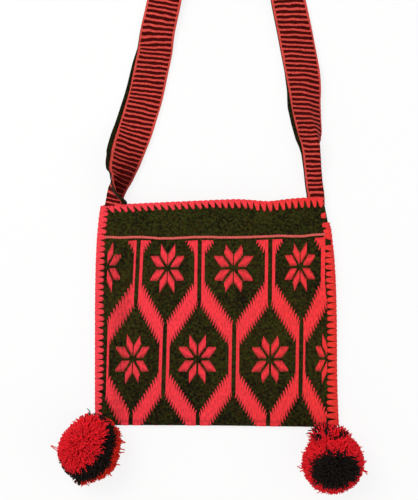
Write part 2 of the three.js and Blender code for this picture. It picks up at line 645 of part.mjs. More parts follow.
// Pompom zones: solids of revolution between two angles from the axis, with a flat spot on the table
function zoneGeometry(from, to) {
  const profile = [];
  const point = (degrees, radius) => {
    const angle = THREE.MathUtils.degToRad(degrees);
    return new THREE.Vector2(Math.max(0, radius * Math.sin(angle)), radius * Math.cos(angle));
  };
  const parts = Math.max(2, Math.round((to - from) / ZONE_STEP));
  const arc = steps(parts).map((t) => point(lerp(to, from, t), POMPOM_RADIUS));
  profile.push(point(from, ZONE_ROOT), point(to, ZONE_ROOT), ...arc);
  profile.push(profile[0].clone());
  return new THREE.LatheGeometry(profile, POMPOM_SEGMENTS);
}

const pompomHeight = POMPOM_RADIUS - POMPOM_FLAT;

function addPompom(side, { x, y, axis }, limits, colours, names) {
  const heading = new THREE.Vector3(...axis).normalize();
  const turned = new THREE.Quaternion().setFromUnitVectors(new THREE.Vector3(0, 1, 0), heading);
  const middle = new THREE.Vector3(x, y, pompomHeight);
  const placed = new THREE.Matrix4().compose(middle, turned, new THREE.Vector3(1, 1, 1));
  const below = new THREE.BoxGeometry(4 * POMPOM_RADIUS, 4 * POMPOM_RADIUS, 2 * POMPOM_RADIUS);
  below.translate(x, y, -POMPOM_RADIUS);
  const table = solidOf(below);
  const room = THREE.MathUtils.radToDeg(CLEARANCE / ZONE_ROOT) / 2;
  limits.forEach((limit, i) => {
    const from = i === 0 ? 0 : limits[i - 1] + room;
    const to = limit === 180 ? 180 : limit - room;
    const zone = solidOf(zoneGeometry(from, to).applyMatrix4(placed)).subtract(table);
    add(`pompom_${side}_${names[i]}`, geometryOf(zone), colours[i]);
  });
}

// Tie: the yarn that binds the pompom, from a knot at the bag's corner to the pompom's side
function addTie(side, way, { x, y }) {
  const wrap = gapAt(way, 0) / 2 + CLOTH_WALL;
  const cornerX = way * (HALF_WIDTH_BOTTOM - TIE_INSET);
  const corner = new THREE.Vector3(cornerX, clothY(way, 0), backZ(way, 0) + wrap);
  const middle = new THREE.Vector3(x, y, pompomHeight);
  const heading = middle.clone().sub(corner).normalize();
  const knot = corner.clone().addScaledVector(heading, wrap + CLEARANCE + KNOT_DIAMETER / 2);
  const end = middle.clone().addScaledVector(heading, -POMPOM_RADIUS - CLEARANCE);
  const ball = new THREE.SphereGeometry(KNOT_DIAMETER / 2, 10, 6).translate(...knot.toArray());
  const cord = cordGeometry([knot, end], TIE_DIAMETER, 2);
  add(`pompom_tie_${side}`, geometryOf(solidOf(ball).add(solidOf(cord))), POMPOM_RED);
}

addCloth();
addHemCord();
addSideEdging("side_edging_left", -1);
addSideEdging("side_edging_right", 1);
addMouthEdging("mouth_edging_front", true);
addMouthEdging("mouth_edging_back", false);
for (let k = 0; k < CHAIN_COUNT - 1; k++) addBrocadeBand(k);
for (let k = 0; k < CHAIN_COUNT; k++) addStar(k % 2, k);
addStrapBand();
addStrapStripes();
addStrapLining();
addPompom("left", LEFT_POMPOM, LEFT_ZONES, [POMPOM_RED, POMPOM_BLACK, POMPOM_RED], ["cap", "ring", "rim"]);
addPompom("right", RIGHT_POMPOM, RIGHT_ZONES, [POMPOM_BLACK, POMPOM_RED], ["cap", "rim"]);
addTie("left", -1, LEFT_POMPOM);
addTie("right", 1, RIGHT_POMPOM);

export default bag;
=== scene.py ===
"""Woven shoulder bag: the soft pieces, finishes and stage for the packed part."""

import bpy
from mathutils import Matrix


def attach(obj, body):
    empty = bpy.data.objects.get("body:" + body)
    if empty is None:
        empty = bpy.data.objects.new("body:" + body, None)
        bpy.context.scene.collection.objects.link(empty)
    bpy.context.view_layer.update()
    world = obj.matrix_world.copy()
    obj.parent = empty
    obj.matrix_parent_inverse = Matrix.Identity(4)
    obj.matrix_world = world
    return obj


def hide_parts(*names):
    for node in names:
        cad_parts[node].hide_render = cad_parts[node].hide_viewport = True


bl_info = {
    "name": "Woven Shoulder Bag",
    "version": (1, 0, 0),
    "blender": (4, 5, 0),
    "location": "3D View > Sidebar > Bag",
    "description": "Builds a wool shoulder bag with brocade, yarn edging, a striped strap and pompoms",
    "category": "Add Mesh",
}

import math
import random
from bisect import bisect_left

import bmesh
import bpy
from bpy.props import FloatProperty, FloatVectorProperty, IntProperty, PointerProperty
from mathutils import Quaternion, Vector, noise

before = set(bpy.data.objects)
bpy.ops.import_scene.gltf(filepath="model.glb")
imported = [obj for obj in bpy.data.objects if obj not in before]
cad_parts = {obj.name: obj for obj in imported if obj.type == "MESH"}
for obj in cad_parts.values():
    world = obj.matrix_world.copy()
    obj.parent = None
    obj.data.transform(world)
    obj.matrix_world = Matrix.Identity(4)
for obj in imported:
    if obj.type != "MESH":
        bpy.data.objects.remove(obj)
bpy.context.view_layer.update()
MM = 0.001
UP = Vector((0, 0, 1))


def distance(name, description, millimetres):
    """A length that a user can change, given in millimetres."""
    kind = {"precision": 5, "subtype": "DISTANCE", "unit": "LENGTH"}
    return FloatProperty(name=name, description=description, default=millimetres * MM, **kind)


def dye(name, description, red, green, blue):
    """A colour that a user can change, given as it looks on screen from 0 to 255."""
    linear = []
    for value in (red, green, blue):
        share = value / 255
        linear.append(share / 12.92 if share <= 0.04045 else ((share + 0.055) / 1.055) ** 2.4)
    kind = {"subtype": "COLOR", "size": 3, "min": 0, "max": 1}
    return FloatVectorProperty(name=name, description=description, default=linear, **kind)


class BagPouchSizes(bpy.types.PropertyGroup):
    """Sizes of the folded cloth"""

    half_width: distance("Half width", "Half of the pouch's width at the fold", 131.2)
    height: distance("Height", "From the fold to the mouth's edge", 241.9)
    fold_y: distance("Fold", "Height of the bottom fold in the bag's frame", -120)
    wall: distance("Wall", "Thickness of the cloth", 2.2)
    crown: distance("Crown", "How far the two faces stand apart at the middle", 16)
    hem_depth: distance("Hem depth", "Depth of the turned hem at the mouth", 39.4)
    ripple: distance("Ripple", "Height of the slow waves in the front", 0.9)


class BagPatternSizes(bpy.types.PropertyGroup):
    """Sizes of the brocade"""

    chain_pitch: distance("Chain pitch", "Distance between the chains of hexagons at the middle", 39.3)
    row_pitch: distance("Row pitch", "Distance from one row of stars to the next", 99)
    column: distance("Column", "Width of one column of pattern yarn", 1.15)
    tooth: distance("Tooth", "How far alternate columns step up and down along a slanted edge", 1.2)


class BagYarnSizes(bpy.types.PropertyGroup):
    """Sizes of the edging and the pompoms"""

    mouth_pitch: distance("Mouth stitch pitch", "Distance between stitches along the mouth", 7.2)
    side_pitch: distance("Side stitch pitch", "Distance between stitches along the sides", 6.9)
    strap_width: distance("Strap width", "Width of the striped band", 38)
    stripe_pitch: distance("Stripe pitch", "Distance from one strap stripe to the next", 5.4)
    pompom_radius: distance("Pompom radius", "From the middle of a pompom to its cut ends", 34)
    pompom_strands: IntProperty(
        name="Pompom strands", description="Cut ends of yarn in each pompom", default=4200, min=200, max=6000
    )


class BagColours(bpy.types.PropertyGroup):
    """Dyes of the yarns"""

    ground: dye("Ground", "Olive wool of the cloth", 33, 36, 6)
    ground_brown: dye("Ground, brown", "Brown wool mixed into the cloth", 33, 24, 4)
    brocade: dye("Brocade", "Red pattern yarn", 250, 63, 75)
    brocade_warm: dye("Brocade, warm", "Red pattern yarn towards the right side", 253, 61, 62)
    hem: dye("Hem", "Pale red cord of the hem", 224, 104, 95)
    edging: dye("Edging", "Light red edging yarn", 247, 67, 78)
    edging_warm: dye("Edging, warm", "Edging yarn towards the right side", 238, 56, 48)
    strap_red: dye("Strap red", "Stripes and edges of the strap", 216, 77, 68)
    strap_dark: dye("Strap dark", "Ground of the strap", 72, 2, 0)
    pompom_red: dye("Pompom red", "Red yarn of the pompoms", 240, 30, 43)
    pompom_rim: dye("Pompom rim", "Warmer red yarn of the rims", 232, 44, 30)
    pompom_black: dye("Pompom black", "Black yarn of the pompoms", 24, 15, 10)


def clamp(value, low=0.0, high=1.0):
    return min(high, max(low, value))


def smooth(value):
    value = clamp(value)
    return value * value * (3 - 2 * value)


def mix(start, end, share):
    return start + (end - start) * share


class Pouch:
    """Surface of the pouch. u runs across from -1 to 1, v up a face from 0 to 1, and t is the height on the
    cloth laid flat: the front's own y, then on down round the fold and up the back."""

    fold_length = 12 * MM
    # Room below the back for the brocade, and the room between the faces at the sides.
    back_room = 0.4 * MM
    side_gap = 0.4 * MM
    # Height of the back's edge at the sides and of its lip at the mouth, and the rise of the hem.
    side_height = 4.6 * MM
    lip_height = 2.9 * MM
    hem_rise = 0.8 * MM
    # Share of the cloth's grid that each face takes, the rest being the fold.
    front_share = 0.47
    # How far the hem's lower edge stands off a straight line, in even steps from the left, in millimetres.
    hem_wave = (-0.3, -0.7, -0.1, -0.4, -1.4, -1.6, -1, -0.2, 0, -0.4)
    hem_wave += (-0.5, -0.5, 0.1, 0.6, 1.2, 1, 0.8, 2.3, 3.4)
    hem_start = -116.6 * MM
    hem_step = 13.2 * MM

    def __init__(self, sizes):
        self.half = sizes.half_width
        self.height = sizes.height
        self.fold_y = sizes.fold_y
        self.wall = sizes.wall
        self.crown = sizes.crown
        self.ripple = sizes.ripple
        self.hem_v = 1 - sizes.hem_depth / sizes.height

    def half_width(self, side, v):
        """Distance of the left edge (side below 0) or the right one from the middle.

        Both draw in towards the mouth, and the right one runs out a little near the fold."""
        high = max(0, v)
        if side < 0:
            return self.half - 6.5 * MM * high**6
        return self.half - 13.5 * MM * high**5 + 2.1 * MM * max(0, 1 - high / 0.3) ** 2

    def mouth_rise(self, u):
        """How far the mouth's edge stands above a level line: it climbs to the right, with a dip there."""
        return (5.5 * u - 4 * math.exp(-(((u - 0.5) / 0.2) ** 2)) - 1.6 * smooth((u - 0.55) / 0.3)) * MM

    def drop(self, u, v):
        """How far the cloth hangs below its straight fold."""
        return (1.7 + 1.2 * u + 2.6 * u * u) * MM * (1 - clamp(v)) ** 2

    def hem_y(self, x):
        """Height of the hem's lower edge."""
        s = clamp((x - self.hem_start) / self.hem_step, 0, len(self.hem_wave) - 1.001)
        i = int(s)
        wave = mix(self.hem_wave[i], self.hem_wave[i + 1], s - i) * MM
        return self.fold_y + self.hem_v * self.height + wave

    def x(self, u, v):
        return u * self.half_width(u, v)

    def y(self, u, v):
        return self.fold_y + v * self.height + self.mouth_rise(u) * clamp(v) ** 8 - self.drop(u, v)

    def gap(self, u, v):
        if v < 0.5:
            share = mix(0.25, 1, math.sin(math.pi * max(0, v)))
        else:
            share = mix(1, 0.9, smooth((v - 0.5) / 0.5))
        return self.side_gap + self.crown * share * (1 - abs(clamp(u, -1)) ** 2.6)

    def back_z(self, u, v):
        side = smooth((abs(u) - 0.7) / 0.3)
        return mix(self.lip_height * smooth((v - 0.86) / 0.14), self.side_height, side) + self.back_room

    def front_z(self, u, v):
        inner = self.back_z(u, v) - self.back_room + self.wall + self.gap(u, v)
        pressed = 1 - smooth((abs(u) - 0.8) / 0.12)
        hem = self.hem_rise * pressed * clamp((self.y(u, v) - self.hem_y(self.x(u, v))) / (0.6 * MM))
        place = Vector((self.x(u, v) * 24, v * self.height * 20, 4.2))
        wave = self.ripple * noise.noise(place) * (1 - abs(clamp(u, -1)) ** 3)
        return inner + self.wall + hem + wave * smooth(v / 0.1)

    def uv_at(self, x, y):
        v = (y - self.fold_y) / self.height
        u = x / self.half_width(x, v)
        v -= (self.y(u, v) - y) / self.height
        return x / self.half_width(x, v), v

    def fold_point(self, u, turn, lift=0.0):
        top, bottom = self.front_z(u, 0), self.back_z(u, 0)
        radius = (top - bottom) / 2 + lift
        y = self.y(u, 0) - radius * math.sin(turn)
        return Vector((self.x(u, 0), y, (top + bottom) / 2 + radius * math.cos(turn)))

    def sheet_point(self, u, share):
        """Point of the cloth, share running from the front lip round the fold to the back lip."""
        if share < self.front_share:
            v = 1 - share / self.front_share
            return Vector((self.x(u, v), self.y(u, v), self.front_z(u, v)))
        if share <= 1 - self.front_share:
            return self.fold_point(u, math.pi * (share - self.front_share) / (1 - 2 * self.front_share))
        v = (share - 1 + self.front_share) / self.front_share
        return Vector((self.x(u, v), self.y(u, v), self.back_z(u, v)))

    def pattern_point(self, x, t, lift):
        """Point above the cloth at x and t, lifted along the outside."""
        past = self.fold_y - t
        if 0 < past < self.fold_length:
            return self.fold_point(x / self.half_width(x, 0), math.pi * past / self.fold_length, lift)
        rise = past - self.fold_length if past > 0 else -past
        v = rise / self.height
        y = self.fold_y + rise - self.drop(x / self.half_width(x, v), v)
        u, v = self.uv_at(x, y)
        return Vector((x, y, self.back_z(u, v) - lift if past > 0 else self.front_z(u, v) + lift))


class Pattern:
    """Brocade of the cloth: chains of hexagons and bars in the ground colour, red bands and stars."""

    chains = 8
    # Half widths of a hexagon and a bar as shares of the pitch, and the heights, counted from the
    # hexagon's middle, where it starts to narrow and where it has become the bar.
    hexagon = 0.838
    bar = 0.07
    shoulder = 16 * MM
    tip = 57.4 * MM
    # The chains stand closer together towards the sides by this share.
    crowding = 0.0098
    # Distance from the hem's edge down to the first row of stars.
    first_drop = 33.7 * MM
    star_half_width = 23 * MM
    star_half_height = 28 * MM
    # How far each chain's stars stand to the right of its middle, in millimetres.
    star_shifts = (0, 0, 0.6, -1.2, -1.7, 1, 0, 0)
    # Outlines of the two petals in a star's first quarter, in millimetres.
    petal_outlines = (
        ((3.5, 1.4), (13.6, 1.4), (18.7, 7.7), (22, 13.6), (11.8, 13.6)),
        ((0.7, 2.8), (9.3, 13.5), (9.6, 16.5), (9, 27), (0.9, 15.7)),
    )

    def __init__(self, sizes, pouch):
        self.pitch = sizes.chain_pitch
        self.row = sizes.row_pitch
        self.fold_y = pouch.fold_y
        self.first_row = pouch.hem_y(0) - self.first_drop
        self.petals = [[Vector(point) * MM for point in outline] for outline in self.petal_outlines]

    def lean(self, x, t):
        """How far the cloth's columns stand to the right of their even places."""
        rise = (max(t, self.fold_y) + 31 * MM) / (110 * MM)
        left = smooth((-17.6 * MM - x) / (75 * MM)) * (1 - 0.55 * smooth((-96 * MM - x) / (26 * MM)))
        crowded = 3.2 * smooth((-97 * MM - x) / (18 * MM))
        crowded += 3.6 * smooth((x - 50 * MM) / (60 * MM)) * smooth((t + 5 * MM) / (45 * MM))
        slant = (1.3 + 4 * left) * MM * rise
        return slant + 1.65 * MM * min(1.2, abs(x - 6.6 * MM) / (82 * MM)) - crowded * MM

    def rise(self, x, t):
        """How far the rows climb at the two ends, away from the fold."""
        right = smooth((x - 55 * MM) / (40 * MM)) * smooth((t - self.fold_y - 5 * MM) / (20 * MM))
        left = smooth((-75 * MM - x) / (25 * MM)) * smooth((t - 20 * MM) / (30 * MM))
        return (1.8 * right + 1.7 * left) * MM

    def chain_x(self, s):
        return s * self.pitch * (1 - self.crowding * s * s)

    def place(self, k):
        """Place of chain k, counted in chains from the middle."""
        return k - (self.chains - 1) / 2

    def from_row(self, k, t):
        """Signed distance from the nearest row on which chain k has its hexagon."""
        turns = (self.first_row - (k % 2) * self.row - t) / (2 * self.row)
        return (turns - round(turns)) * 2 * self.row

    def chain_half(self, k, t):
        off = abs(self.from_row(k, t))
        bar = self.bar if k < self.chains - 1 else 0
        return mix(self.hexagon, bar, clamp((off - self.shoulder) / (self.tip - self.shoulder)))

    def chain_left_of(self, x):
        """Number of the chain to the left of x, with that chain's x and its neighbour's, or None."""
        for k in range(self.chains - 1):
            left, right = self.chain_x(self.place(k)), self.chain_x(self.place(k + 1))
            if left <= x <= right:
                return k, left, right
        return None

    def in_band(self, x, t):
        found = self.chain_left_of(x)
        if not found:
            return False
        k, left, right = found
        pitch = right - left
        return left + self.chain_half(k, t) * pitch <= x <= right - self.chain_half(k + 1, t) * pitch

    def slope(self, x, t):
        """1 where the band at this place rises to the right, -1 where it falls, 0 where it stands upright."""
        found = self.chain_left_of(x)
        if not found:
            return 0
        k = found[0]
        above, below = t + 2 * MM, t - 2 * MM
        change = self.chain_half(k, above) - self.chain_half(k, below)
        change += self.chain_half(k + 1, below) - self.chain_half(k + 1, above)
        return clamp(change * 15, -1, 1)

    def in_star(self, x, t):
        for k in range(self.chains):
            s = self.place(k)
            local_pitch = self.chain_x(s + 0.5) - self.chain_x(s - 0.5)
            px = abs(x - self.chain_x(s) - self.star_shifts[k] * MM) * self.pitch / local_pitch
            py = abs(self.from_row(k, t))
            if px < self.star_half_width and py < self.star_half_height:
                return any(inside(outline, px, py) for outline in self.petals)
        return False


def inside(outline, x, y):
    """Whether the point is inside the closed outline."""
    found = False
    for a, b in zip(outline, outline[1:] + outline[:1]):
        if (a.y > y) != (b.y > y) and x < a.x + (b.x - a.x) * (y - a.y) / (b.y - a.y):
            found = not found
    return found


class Strap:
    """The striped band's surface. s counts the route's points, and a runs across from the inner edge."""

    wall = 2.4 * MM
    # Length of the fold's bend across the band, and from its middle to the outer edge.
    bend = 5.8 * MM
    flap = 19.4 * MM
    # Steps from one point of the route to the next when its length is measured.
    steps = 40
    # Inner edge of the band: x, y, turn on edge, lift, fold of the outer half (forwards at the left
    # root, backwards at the right one), the tape's two edges across the band, and the skew of the
    # stripes. Millimetres and degrees.
    route = (
        (-104.9, 110, 0, 6.4, 178, 36.6, 42.8, 0),
        (-102.8, 120.6, 0, 6.2, 174, 36.6, 43.2, 0.02),
        (-100.9, 128, 0, 6, 122, 36.6, 43.8, 0.05),
        (-97, 136, 0, 5.6, 93, 36.6, 44.2, 0.08),
        (-93.4, 141.8, 0, 5.2, 74, 36.6, 44.4, 0.08),
        (-88.3, 152.3, 0, 4.6, 55, 36, 44, 0.08),
        (-84.3, 160.4, 0, 4.2, 42, 34, 43.6, 0.08),
        (-79.5, 172.5, 0, 3.6, 30, 28, 43.2, 0.08),
        (-71.6, 192.8, 0, 2.8, 10, 24, 42.8, 0.08),
        (-65.3, 213, 0, 2.3, 3, 23, 42.6, 0.08),
        (-59.4, 233.2, 0, 1.9, 0, 1.6, 42.4, 0.08),
        (-52.4, 266, 0, 1.9, 0, 1.6, 41.2, 0.1),
        (-48.4, 285.3, 2, 1.9, 0, 1.6, 39.4, 0.1),
        (-45.8, 306, 5, 1.9, 0, 1.6, 38.8, 0.05),
        (-38.5, 341, 10, 1.9, 0, 1.6, 38.4, 0),
        (-30, 391, 32, 1.9, 0, 1.6, 37.4, 0),
        (-22, 430, 58, 1.9, 0, 1.6, 36.4, 0),
        (-8, 459, 80, 1.7, 0, 1.6, 36.4, 0),
        (12, 470, 87, 1.7, 0, 1.6, 36.4, 0),
        (32, 459, 80, 1.7, 0, 1.6, 36.4, 0),
        (46, 430, 58, 1.9, 0, 1.6, 36.4, 0),
        (53, 391, 32, 1.9, 0, 0.6, 36.4, 0),
        (61.6, 341, 10, 1.9, 0, -0.5, 36.4, -0.06),
        (68.9, 304.6, 3, 2.6, 0, -0.6, 36.4, -0.2),
        (76.2, 266, -6, 5, -12, -0.8, 14, -0.22),
        (80.6, 244.2, -24, 6.6, -46, -3.2, 13, -0.24),
        (83.8, 226.7, -36, 7.4, -72, -7, 12, -0.24),
        (87.6, 209.1, -40, 8, -88, -7.4, 11.5, -0.24),
        (92.3, 191.6, -34, 8.8, -100, -6.6, 11.5, -0.24),
        (94.2, 184, -28, 12.2, -110, -5, 11.5, -0.2),
        (95.5, 174, -14, 14.6, -142, -2.4, 11.5, -0.14),
        (97.4, 156.5, -4, 9.8, -170, -1.1, 11.5, -0.1),
        (99.5, 138.9, 0, 8.2, -177, -1.1, 11.5, -0.06),
        (101, 128, 0, 8.6, -177, -1.1, 11.5, -0.06),
        (101.4, 117, 0, 8.6, -177, -1.1, 11.5, -0.06),
    )

    def __init__(self, sizes):
        self.width = sizes.strap_width
        self.plan = [Vector((row[0], row[1], 0)) for row in self.route]
        self.state = [Vector(row[2:5]) for row in self.route]
        self.trim = [Vector(row[5:8]) for row in self.route]
        self.last = len(self.route) - 1
        count = self.steps * self.last
        self.marks = [0.0]
        points = [through(self.plan, self.last * i / count) for i in range(count + 1)]
        for a, b in zip(points, points[1:]):
            self.marks.append(self.marks[-1] + (b - a).length * MM)
        self.length = self.marks[-1]

    def at_length(self, share):
        """Place on the route at a share of its length."""
        wanted = share * self.length
        i = min(max(1, bisect_left(self.marks, wanted)), len(self.marks) - 1)
        before = self.marks[i - 1]
        return (i - 1 + clamp((wanted - before) / (self.marks[i] - before))) / self.steps

    def trim_at(self, s):
        """The tape's two edges and the skew of the stripes."""
        i = min(self.last - 1, int(s))
        return mix(self.trim[i], self.trim[i + 1], s - i)

    def frame(self, s):
        """Origin of the band's section at s, the ways across it and out of it, and its fold."""
        turn, lift, fold = through(self.state, s)
        turn = math.radians(turn)
        ahead = through(self.plan, min(self.last, s + 0.01)) - through(self.plan, max(0, s - 0.01))
        ahead.normalize()
        across = Vector((-ahead.y, ahead.x, 0)) * math.cos(turn) - UP * math.sin(turn)
        origin = through(self.plan, s) * MM
        origin.z = lift * MM + self.wall / 2 * math.cos(turn) + self.width * max(0, math.sin(turn))
        return origin, across, ahead.cross(across), math.radians(fold)

    def point(self, place, a, above):
        """Point at a across a section of the band, above its middle surface."""
        origin, across, normal, curl = place
        start = self.width - self.flap - self.bend / 2
        in_bend = clamp((a - start) / self.bend)
        angle = curl * in_bend
        flat = min(a, start)
        rest = max(0, a - start - self.bend)
        along, up = flat + self.bend * in_bend, 0
        if abs(curl) > 1e-3:
            radius = self.bend / curl
            along = flat + radius * math.sin(angle)
            up = radius * (1 - math.cos(angle))
        along += rest * math.cos(angle) - above * math.sin(angle)
        up += rest * math.sin(angle) + above * math.cos(angle)
        return origin + across * along + normal * up


def through(points, s):
    """Point of a centripetal Catmull-Rom curve at s, counted in points."""
    i = min(len(points) - 2, int(s))
    part = s - i
    b, c = points[i], points[i + 1]
    a = points[i - 1] if i > 0 else 2 * b - c
    d = points[i + 2] if i + 2 < len(points) else 2 * c - b
    step = [math.sqrt(max(1e-8, (q - p).length)) for p, q in ((a, b), (b, c), (c, d))]
    step = [step[1] if value < 1e-3 else value for value in step] if step[1] > 1e-3 else [1, 1, 1]
    into = ((b - a) / step[0] - (c - a) / (step[0] + step[1]) + (c - b) / step[1]) * step[1]
    out = ((c - b) / step[1] - (d - b) / (step[1] + step[2]) + (d - c) / step[2]) * step[1]
    square = -3 * b + 3 * c - 2 * into - out
    cube = 2 * b - 2 * c + into + out
    return b + into * part + square * part**2 + cube * part**3


def mapped_grid(bm, across, along, place):
    """Adds a grid whose two shares run from 0 to 1, and place gives each vertex its point and its uv."""
    layer = bm.loops.layers.uv.verify()
    made = bmesh.ops.create_grid(bm, x_segments=across, y_segments=along, size=0.5)["verts"]
    flat = {}
    for vert in made:
        vert.co, flat[vert] = place(vert.co.x + 0.5, vert.co.y + 0.5)
    for vert in made:
        for loop in vert.link_loops:
            loop[layer].uv = flat[vert]


def mesh_of(bm, name):
    mesh = bpy.data.meshes.new(name)
    bm.normal_update()
    bm.to_mesh(mesh)
    bm.free()
    mesh.shade_smooth()
    return mesh


def linked(name, data):
    """A new object of the scene that holds data."""
    made = bpy.data.objects.new(name, data)
    bpy.context.scene.collection.objects.link(made)
    return made


def grid_mesh(name, across, along, place):
    """A mesh of one mapped grid."""
    bm = bmesh.new()
    mapped_grid(bm, across, along, place)
    return mesh_of(bm, name)


def arc_run(middle, first, second, turn, radius, steps=12):
    """A run of yarn along an ellipse with half axes first and second, for turn radians."""
    angles = [turn * i / steps for i in range(steps + 1)]
    return [(middle + first * math.cos(angle) + second * math.sin(angle), radius) for angle in angles]


def yarn_mesh(name, runs, roundness=1):
    """One mesh of closed yarn tubes. Each run is a list of points with their radii."""
    curve = bpy.data.curves.new(name, "CURVE")
    curve.dimensions = "3D"
    curve.bevel_depth = 1
    curve.bevel_resolution = roundness
    curve.use_fill_caps = True
    for run in runs:
        spline = curve.splines.new("POLY")
        spline.points.add(len(run) - 1)
        for knot, (point, radius) in zip(spline.points, run):
            knot.co = (*point, 1)
            knot.radius = radius
    holder = linked(name, curve)
    depsgraph = bpy.context.evaluated_depsgraph_get()
    mesh = bpy.data.meshes.new_from_object(holder.evaluated_get(depsgraph))
    bpy.data.objects.remove(holder)
    bpy.data.curves.remove(curve)
    bm = bmesh.new()
    bm.from_mesh(mesh)
    bpy.data.meshes.remove(mesh)
    bmesh.ops.remove_doubles(bm, verts=bm.verts, dist=1e-7)
    bmesh.ops.recalc_face_normals(bm, faces=bm.faces)
    return mesh_of(bm, name)


def rounded(points, radii, steps=10):
    """A run along a smooth curve through points, with the radii carried along."""
    last = len(points) - 1
    run = []
    for i in range(steps + 1):
        s = last * i / steps
        low = min(last - 1, int(s))
        run.append((through(points, s), mix(radii[low], radii[low + 1], s - low)))
    return run


def plied(path, radius, pitch, apart=0.72):
    """Runs of the two plies of a twisted cord along a path of points.

    A ply's middle runs round the path at the share apart of its radius."""
    runs = [[], []]
    covered = 0.0
    for i, point in enumerate(path):
        before, after = path[max(0, i - 1)], path[min(len(path) - 1, i + 1)]
        if i:
            covered += (point - path[i - 1]).length
        ahead = (after - before).normalized()
        side = ahead.cross(UP).normalized()
        top = side.cross(ahead)
        for ply, run in enumerate(runs):
            angle = 2 * math.pi * (covered / pitch + ply / len(runs))
            offset = (side * math.cos(angle) + top * math.sin(angle)) * radius * apart
            run.append((point + offset, radius))
    return runs


def fan_stitch(along, knots, spread, slant, thick):
    """Runs of three yarns that lie side by side over an edge and draw together to a tip.

    The knots are points with the yarns' share of the spread and of the slant at each, and along is the
    way of the edge."""
    runs = []
    for way in (-1, 0, 1):
        points = [point + along * (way * spread * fan + slant * lean) for point, fan, lean in knots]
        if way:
            points[-1] = mix(points[-1], points[-2], 0.2)
        radii = [thick] * (len(points) - 2) + [thick * 0.94, thick * 0.82]
        runs.append(rounded(points, radii))
    return runs


def make_piece(name, mesh, finish, nodes, body="bag"):
    """Links a piece that rides on a body and stands for CAD nodes."""
    piece = linked(name, mesh)
    mesh.materials.append(finish)
    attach(piece, body)
    if nodes:
        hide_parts(*nodes)
    return piece


def add_wall(piece, thickness, offset):
    """Gives a sheet its thickness."""
    wall = piece.modifiers.new("Wall", "SOLIDIFY")
    wall.thickness = thickness
    wall.offset = offset
    wall.use_even_offset = False


class Sketch:
    """Short words for building a node tree."""

    def __init__(self, tree):
        self.tree = tree

    def put(self, socket, value):
        if isinstance(value, bpy.types.NodeSocket):
            self.tree.links.new(value, socket)
        else:
            socket.default_value = value

    def node(self, kind, values=None, **settings):
        made = self.tree.nodes.new(kind)
        for key, setting in settings.items():
            setattr(made, key, setting)
        for key, value in (values or {}).items():
            self.put(made.inputs[key], value)
        return made

    def out(self, kind, values=None, **settings):
        """First output of a new node."""
        return self.node(kind, values, **settings).outputs[0]

    def parts(self, vector):
        return self.node("ShaderNodeSeparateXYZ", {0: vector}).outputs

    def math(self, operation, first, second=0.0):
        return self.out("ShaderNodeMath", {0: first, 1: second}, operation=operation)

    def plus(self, first, second):
        return self.math("ADD", first, second)

    def times(self, first, second):
        return self.math("MULTIPLY", first, second)

    def remap(self, value, low, high, to_low=0.0, to_high=1.0):
        return self.out("ShaderNodeMapRange", {0: value, 1: low, 2: high, 3: to_low, 4: to_high})

    def blend(self, share, first, second):
        made = self.node("ShaderNodeMix", {0: share, 6: first, 7: second}, data_type="RGBA")
        return made.outputs[2]

    def noise(self, vector, scale, detail=2.0):
        return self.out("ShaderNodeTexNoise", {"Vector": vector, "Scale": scale, "Detail": detail})

    def stretched(self, vector, x, y, z):
        return self.out("ShaderNodeMapping", {"Vector": vector, "Scale": (x, y, z)})

    def group(self, tree, **values):
        """Outputs of a node group that is given these values."""
        made = self.node("ShaderNodeGroup", node_tree=tree)
        for key, value in values.items():
            self.put(made.inputs[key], value)
        return made.outputs


def blank_sketch(block):
    """A sketch of the emptied node tree of a material or a world."""
    block.use_nodes = True
    block.node_tree.nodes.clear()
    return Sketch(block.node_tree)


def new_group(name, inputs, outputs):
    """An empty node group with float sockets, and a vector called Vector."""
    tree = bpy.data.node_groups.new(name, "ShaderNodeTree")
    tree.interface.new_socket("Vector", in_out="INPUT", socket_type="NodeSocketVector")
    for socket in inputs:
        tree.interface.new_socket(socket, in_out="INPUT", socket_type="NodeSocketFloat")
    for socket in outputs:
        tree.interface.new_socket(socket, in_out="OUTPUT", socket_type="NodeSocketFloat")
    sketch = Sketch(tree)
    return sketch, sketch.node("NodeGroupInput").outputs, sketch.node("NodeGroupOutput").inputs


def wool_group():
    """Wool hair: streaks of lighter and darker fibre, and the fuzz between them."""
    if "Wool Hair" in bpy.data.node_groups:
        return bpy.data.node_groups["Wool Hair"]
    sketch, given, result = new_group("Wool Hair", ["Fineness"], ["Shade", "Height"])
    broad = sketch.noise(given["Vector"], given["Fineness"], 3)
    fine = sketch.noise(given["Vector"], sketch.times(given["Fineness"], 3.7), 2)
    both = sketch.plus(sketch.times(broad, 0.6), sketch.times(fine, 0.4))
    sketch.put(result["Shade"], sketch.remap(both, 0.36, 0.64))
    sketch.put(result["Height"], both)
    return sketch.tree


def weave_group():
    """Plain weave: threads that go over and under at a pitch given in metres."""
    if "Plain Weave" in bpy.data.node_groups:
        return bpy.data.node_groups["Plain Weave"]
    sketch, given, result = new_group("Plain Weave", ["Across", "Along"], ["Shade", "Height"])
    parts = sketch.parts(given["Vector"])
    across = sketch.math("DIVIDE", sketch.times(parts[0], math.pi), given["Across"])
    along = sketch.math("DIVIDE", sketch.times(parts[1], math.pi), given["Along"])
    crossing = sketch.times(sketch.math("SINE", across), sketch.math("SINE", along))
    slub = sketch.noise(sketch.stretched(given["Vector"], 1, 5, 1), 160, 3)
    height = sketch.plus(sketch.remap(crossing, -1, 1, 0, 0.6), sketch.times(slub, 0.4))
    sketch.put(result["Height"], height)
    sketch.put(result["Shade"], sketch.remap(height, 0.15, 0.85))
    return sketch.tree


